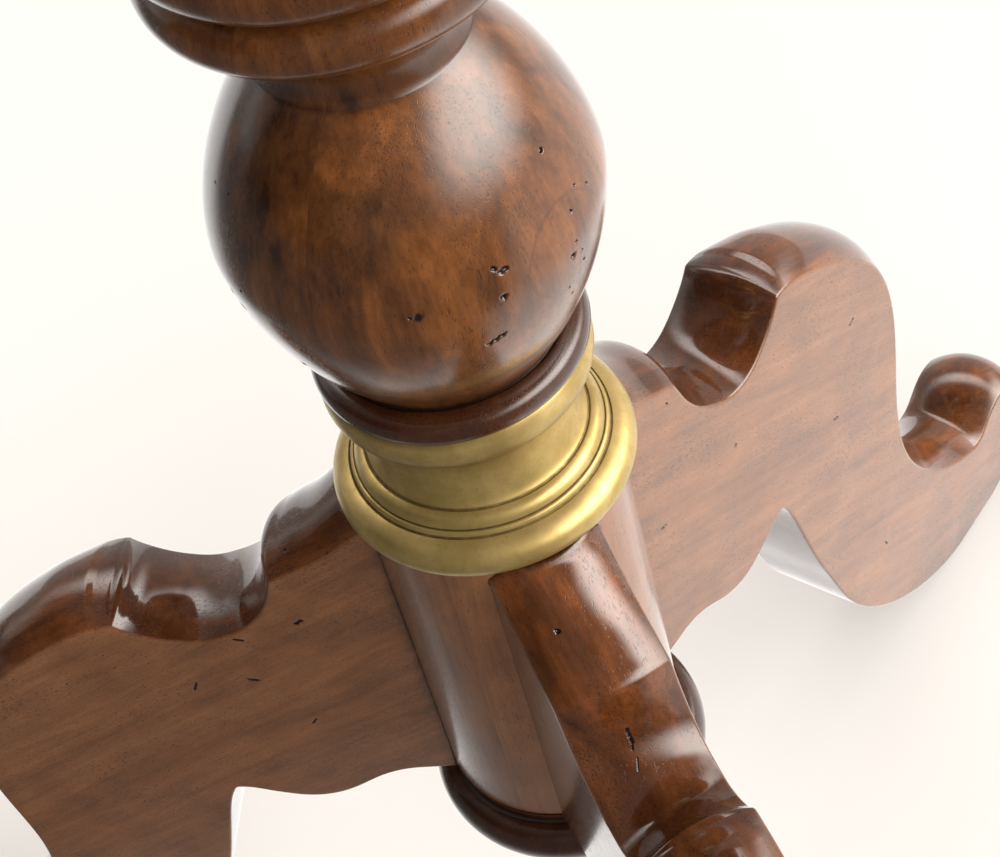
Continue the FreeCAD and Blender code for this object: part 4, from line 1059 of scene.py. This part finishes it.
def brass(name, use_attr=True, base=(0.395, 0.282, 0.103), rough=0.34):
    m, nt = new_mat(name)
    b = NB(nt)
    v = b.attr("wco", "Vector") if use_attr else b.n("ShaderNodeNewGeometry").outputs["Position"]
    blot = b.noise(v, 70.0, 4.0, 0.6, 0.3)
    fine = b.noise(v, 900.0, 3.0, 0.65)
    sep = b.n("ShaderNodeSeparateXYZ")
    b.link(v, sep.inputs[0])
    rad = b.math("SQRT", b.math("ADD", b.math("MULTIPLY", sep.outputs[0], sep.outputs[0]), b.math("MULTIPLY", sep.outputs[1], sep.outputs[1])))
    comb = b.n("ShaderNodeCombineXYZ")
    b.link(b.math("MULTIPLY", rad, 1.0), comb.inputs[0])
    b.link(sep.outputs[2], comb.inputs[1])
    turn = b.noise(comb.outputs[0], 2600.0, 2.0, 0.6)
    soft = b.noise(b.scaled(v, (1, 1, 1), (2.0, 0.0, 1.0)), 180.0, 4.0, 0.6, 0.5)
    col = b.mix(b.ramp(blot, 0.30, 0.72), (base[0] * 0.80, base[1] * 0.80, base[2] * 0.72), (base[0] * 1.12, base[1] * 1.12, base[2] * 1.2))
    col = b.mix(b.math("MULTIPLY", b.ramp(soft, 0.45, 0.72), 0.35), col, (base[0] * 0.62, base[1] * 0.60, base[2] * 0.45))
    col = b.mix(b.math("MULTIPLY", b.ramp(fine, 0.58, 0.70), 0.25), col, (0.10, 0.068, 0.018))
    pat = 0.0
    if use_attr:
        cav = b.attr("cavity")
        pat = b.math("MULTIPLY", b.ramp(cav, 0.22, 0.85), b.ramp(b.noise(v, 420.0, 3.0, 0.6), 0.2, 0.6, 0.7, 1.0), clamp=True)
        col = b.mix(b.math("MULTIPLY", pat, 0.85), col, (0.060, 0.032, 0.008))
        # painted shade in the groove under the collar's top bead and at its top edge
        col = b.mix(b.math("MULTIPLY", b.attr("painted_shade_and_stain"), 0.80), col, (0.055, 0.030, 0.008))
    bs = b.n("ShaderNodeBsdfPrincipled")
    b.link(col, bs.inputs["Base Color"])
    bs.inputs["Metallic"].default_value = 0.72
    r = b.ramp(b.math("ADD", b.math("MULTIPLY", fine, 0.5), b.math("MULTIPLY", soft, 0.5)), 0.3, 0.7, rough - 0.05, rough + 0.10)
    if use_attr:
        r = b.math("MULTIPLY_ADD", pat, 0.22, r)
    b.link(r, bs.inputs["Roughness"])
    bump = b.n("ShaderNodeBump")
    bump.inputs["Strength"].default_value = 0.35
    bump.inputs["Distance"].default_value = 0.00006
    b.link(b.math("ADD", b.math("MULTIPLY", turn, 0.8), b.math("MULTIPLY", fine, 0.7)), bump.inputs["Height"])
    b.link(bump.outputs[0], bs.inputs["Normal"])
    out = b.n("ShaderNodeOutputMaterial")
    b.link(bs.outputs[0], out.inputs[0])
    return m


def plain(name, base, rough, metallic, scale, var=0.25, grain=(1, 1, 1), bump_d=0.00005):
    m, nt = new_mat(name)
    b = NB(nt)
    v = b.scaled(b.n("ShaderNodeNewGeometry").outputs["Position"], grain)
    n1 = b.noise(v, scale, 4.0, 0.6)
    n2 = b.noise(v, scale * 7, 3.0, 0.6)
    t = b.math("ADD", b.math("MULTIPLY", n1, 0.65), b.math("MULTIPLY", n2, 0.35))
    col = b.mix(b.ramp(t, 0.3, 0.7), tuple(c * (1 - var) for c in base), tuple(min(1.0, c * (1 + var)) for c in base))
    bs = b.n("ShaderNodeBsdfPrincipled")
    b.link(col, bs.inputs["Base Color"])
    b.link(b.ramp(n2, 0.3, 0.7, rough - 0.06, rough + 0.08), bs.inputs["Roughness"])
    bs.inputs["Metallic"].default_value = metallic
    bump = b.n("ShaderNodeBump")
    bump.inputs["Strength"].default_value = 0.4
    bump.inputs["Distance"].default_value = bump_d
    b.link(n2, bump.inputs["Height"])
    b.link(bump.outputs[0], bs.inputs["Normal"])
    out = b.n("ShaderNodeOutputMaterial")
    b.link(bs.outputs[0], out.inputs[0])
    return m


M_TURN = wood("wood_turned", seams=True, coat_rough=0.18, pore=0.55, dark=(0.018, 0.0060, 0.0016), mid=(0.077, 0.0260, 0.0062), warm=(0.172, 0.0590, 0.0140))
M_LEG = wood("wood_leg", speck=0.34, pore=0.8, dark=(0.017, 0.0050, 0.0014), mid=(0.066, 0.0195, 0.0046), warm=(0.150, 0.0450, 0.0105))
M_TOP = wood("wood_top", boards=True, pore=0.8, mottle=0.9)
M_RAIL = wood("wood_rail", use_attr=False, grain_axis="Y", mottle=0.8)
M_BLOCK = wood("wood_block", use_attr=False, grain_axis="X", mottle=0.8)
M_BRASS = brass("brass_collar_finish")
M_BRASS_SMALL = brass("brass_fittings_finish", use_attr=False)
M_STEEL = plain("zinc_steel_finish", (0.46, 0.46, 0.47), 0.34, 0.95, 300.0, 0.14)
M_BEECH = plain("beech_finish", (0.50, 0.34, 0.19), 0.6, 0.0, 160.0, 0.22, (1, 1, 0.3))
M_NYLON = plain("nylon_finish", (0.045, 0.038, 0.034), 0.55, 0.0, 500.0, 0.2)


def assign(ob, m):
    if not ob.material_slots:
        ob.data.materials.append(m)
    for s in ob.material_slots:
        s.link = "OBJECT"
        s.material = m


for ob in (ball, shaft, hub, disc, drop):
    assign(ob, M_TURN)
for ob in (leg_front, leg_right, leg_left):
    assign(ob, M_LEG)
assign(top, M_TOP)
assign(collar, M_BRASS)
NODE_MAT = {"tilt_block": M_BLOCK, "batten_left": M_RAIL, "batten_right": M_RAIL, "strike_plate": M_BRASS_SMALL, "strike_screws": M_BRASS_SMALL,
            "catch_plate": M_BRASS_SMALL, "catch_bolt": M_BRASS_SMALL, "catch_knob": M_BRASS_SMALL, "catch_screws": M_BRASS_SMALL,
            "catch_leaf": M_STEEL, "batten_screws": M_STEEL, "pivot_pin_left": M_STEEL, "pivot_pin_right": M_STEEL, "tie_rod": M_STEEL,
            "tie_rod_nuts": M_STEEL, "tie_rod_washers": M_STEEL, "leg_dowels": M_BEECH, "foot_glides": M_NYLON,
            "table_top": M_TOP, "column_shaft": M_TURN, "ball_turning": M_TURN, "brass_collar": M_BRASS, "hub": M_TURN, "base_disc": M_TURN,
            "drop_finial": M_TURN, "leg_front": M_LEG, "leg_right": M_LEG, "leg_left": M_LEG}
for nm, ob in NODES.items():
    assign(ob, NODE_MAT[nm])
BEVEL = {"tilt_block": 1.6, "batten_left": 1.4, "batten_right": 1.4, "strike_plate": 0.25, "catch_plate": 0.4, "catch_bolt": 0.4}
for nm, w in BEVEL.items():
    ob = NODES[nm]
    md = ob.modifiers.new("weld", "WELD")
    md.merge_threshold = 2e-5
    md = ob.modifiers.new("bevel", "BEVEL")
    md.width, md.segments, md.limit_method, md.angle_limit = w * MM, 3, "ANGLE", math.radians(40)
    md.use_clamp_overlap = True
    md = ob.modifiers.new("normals", "WEIGHTED_NORMAL")
    md.keep_sharp = False

# ------------------------------------------------------------------ camera at the photograph's angle
cam_d = bpy.data.cameras.new("camera")
cam = bpy.data.objects.new("camera", cam_d)
SCN.collection.objects.link(cam)
SCN.camera = cam
cam_d.lens, cam_d.sensor_width = 85.578, 36.0
cam_d.clip_start, cam_d.clip_end = 0.02, 50.0
R2 = Vector((0.885259134, -0.425873515, -0.186943882))
U2 = Vector((0.437769477, 0.627218756, 0.644169633))
BK = R2.cross(U2)
cam.matrix_world = Matrix(((R2.x, U2.x, BK.x, -0.100920108), (R2.y, U2.y, BK.y, -0.444488776), (R2.z, U2.z, BK.z, 0.821126956), (0, 0, 0, 1)))

# ------------------------------------------------------------------ floor
me = bpy.data.meshes.new("floor")
me.from_pydata([(-9, -9, 0), (9, -9, 0), (9, 9, 0), (-9, 9, 0)], [], [(0, 1, 2, 3)])
floor = bpy.data.objects.new("floor", me)
SCN.collection.objects.link(floor)
m, nt = new_mat("floor_pale")
b = NB(nt)


def surf_sum(b, a1, a2):
    ad = b.n("ShaderNodeAddShader")
    b.link(a1.outputs[0], ad.inputs[0])
    b.link(a2.outputs[0], ad.inputs[1])
    return ad.outputs[0]


def diffuse(b, col):
    d = b.n("ShaderNodeBsdfDiffuse")
    d.inputs[0].default_value = (*col, 1)
    return d


def emit(b, col, strength):
    e = b.n("ShaderNodeEmission")
    e.inputs[0].default_value = (*col, 1)
    b.val(e.inputs[1], strength)
    return e


seen = surf_sum(b, diffuse(b, (0.36, 0.352, 0.344)), emit(b, (1.0, 0.94, 0.88), FLOOR_SEEN))
# the sheet is lit from behind the table: bright there, falling off towards the front left
pos = b.n("ShaderNodeNewGeometry").outputs["Position"]
sep = b.n("ShaderNodeSeparateXYZ")
b.link(pos, sep.inputs[0])
along = b.math("ADD", b.math("MULTIPLY", sep.outputs[0], math.cos(math.radians(FLOOR_AZ))), b.math("MULTIPLY", sep.outputs[1], math.sin(math.radians(FLOOR_AZ))))
lit = surf_sum(b, diffuse(b, (0.04, 0.04, 0.04)), emit(b, (1.0, 0.985, 0.965), b.ramp(along, FLOOR_T0, FLOOR_T1, FLOOR_LO, FLOOR_HI)))
lp = b.n("ShaderNodeLightPath").outputs["Is Camera Ray"]
mx = b.n("ShaderNodeMixShader")
b.link(lp, mx.inputs[0])
b.link(lit, mx.inputs[1])
b.link(seen, mx.inputs[2])
out = b.n("ShaderNodeOutputMaterial")
b.link(mx.outputs[0], out.inputs[0])
me.materials.append(m)

# ------------------------------------------------------------------ studio light, all soft panels at a distance
L = bpy.data.lights.new("front_fill", "AREA")
L.shape, L.size, L.size_y, L.energy, L.color = "RECTANGLE", 1.6, 1.2, FILL_W, (1.0, 0.97, 0.93)
fill = bpy.data.objects.new("front_fill", L)
SCN.collection.objects.link(fill)
d = Vector((math.cos(math.radians(FILL_AZ)) * math.cos(math.radians(FILL_EL)), math.sin(math.radians(FILL_AZ)) * math.cos(math.radians(FILL_EL)), math.sin(math.radians(FILL_EL))))
fill.location = Vector((0.0, 0.0, 0.34)) + d * 2.0
fill.rotation_mode = "QUATERNION"
fill.rotation_quaternion = d.to_track_quat("Z", "Y")
fill.visible_camera = False
fill.visible_glossy = False

w = bpy.data.worlds.new("studio")
SCN.world = w
w.use_nodes = True
nt = w.node_tree
nt.nodes.clear()
b = NB(nt)
geo = b.n("ShaderNodeTexCoord").outputs["Generated"]


def unit(az, el):
    a, e = math.radians(az), math.radians(el)
    return Vector((math.cos(a) * math.cos(e), math.sin(a) * math.cos(e), math.sin(e)))


def dot(b, v):
    d = b.n("ShaderNodeVectorMath", operation="DOT_PRODUCT")
    b.link(geo, d.inputs[0])
    d.inputs[1].default_value = tuple(v)
    return d.outputs["Value"]


def panel(b, az, el, s_az, s_el, power, sharp=1.0):
    """A soft panel seen in the direction az, el, with half widths in degrees; sharp 1 is a gaussian."""
    c = unit(az, el)
    e1 = Vector((-math.sin(math.radians(az)), math.cos(math.radians(az)), 0.0))
    e2 = c.cross(e1)
    u = b.math("MULTIPLY", dot(b, e1), 1 / math.sin(math.radians(s_az)))
    v = b.math("MULTIPLY", dot(b, e2), 1 / math.sin(math.radians(s_el)))
    r2 = b.math("ADD", b.math("MULTIPLY", u, u), b.math("MULTIPLY", v, v))
    if sharp != 1.0:
        r2 = b.math("POWER", r2, sharp)
    g = b.math("EXPONENT", b.math("MULTIPLY", r2, -0.7))
    g = b.math("MULTIPLY", g, b.math("GREATER_THAN", dot(b, c), 0.0))
    return b.math("MULTIPLY", g, power)


sep = b.n("ShaderNodeSeparateXYZ")
b.link(geo, sep.inputs[0])
total = b.ramp(sep.outputs[2], 0.3, 1.0, WORLD_BASE, WORLD_TOP)
for pn in PANELS:
    total = b.math("ADD", total, panel(b, *pn))
lp = b.n("ShaderNodeLightPath").outputs["Is Camera Ray"]
bg1 = b.n("ShaderNodeBackground")
bg1.inputs[0].default_value = (1.0, 0.955, 0.905, 1)
b.link(total, bg1.inputs[1])
bg2 = b.n("ShaderNodeBackground")
bg2.inputs[0].default_value = (0.93, 0.915, 0.90, 1)
bg2.inputs[1].default_value = 1.0
mx = b.n("ShaderNodeMixShader")
b.link(lp, mx.inputs[0])
b.link(bg1.outputs[0], mx.inputs[1])
b.link(bg2.outputs[0], mx.inputs[2])
out = b.n("ShaderNodeOutputWorld")
b.link(mx.outputs[0], out.inputs[0])

SCN.view_settings.view_transform = "Standard"
SCN.view_settings.look = "None"
SCN.view_settings.exposure = 0.0
SCN.view_settings.gamma = 1.0
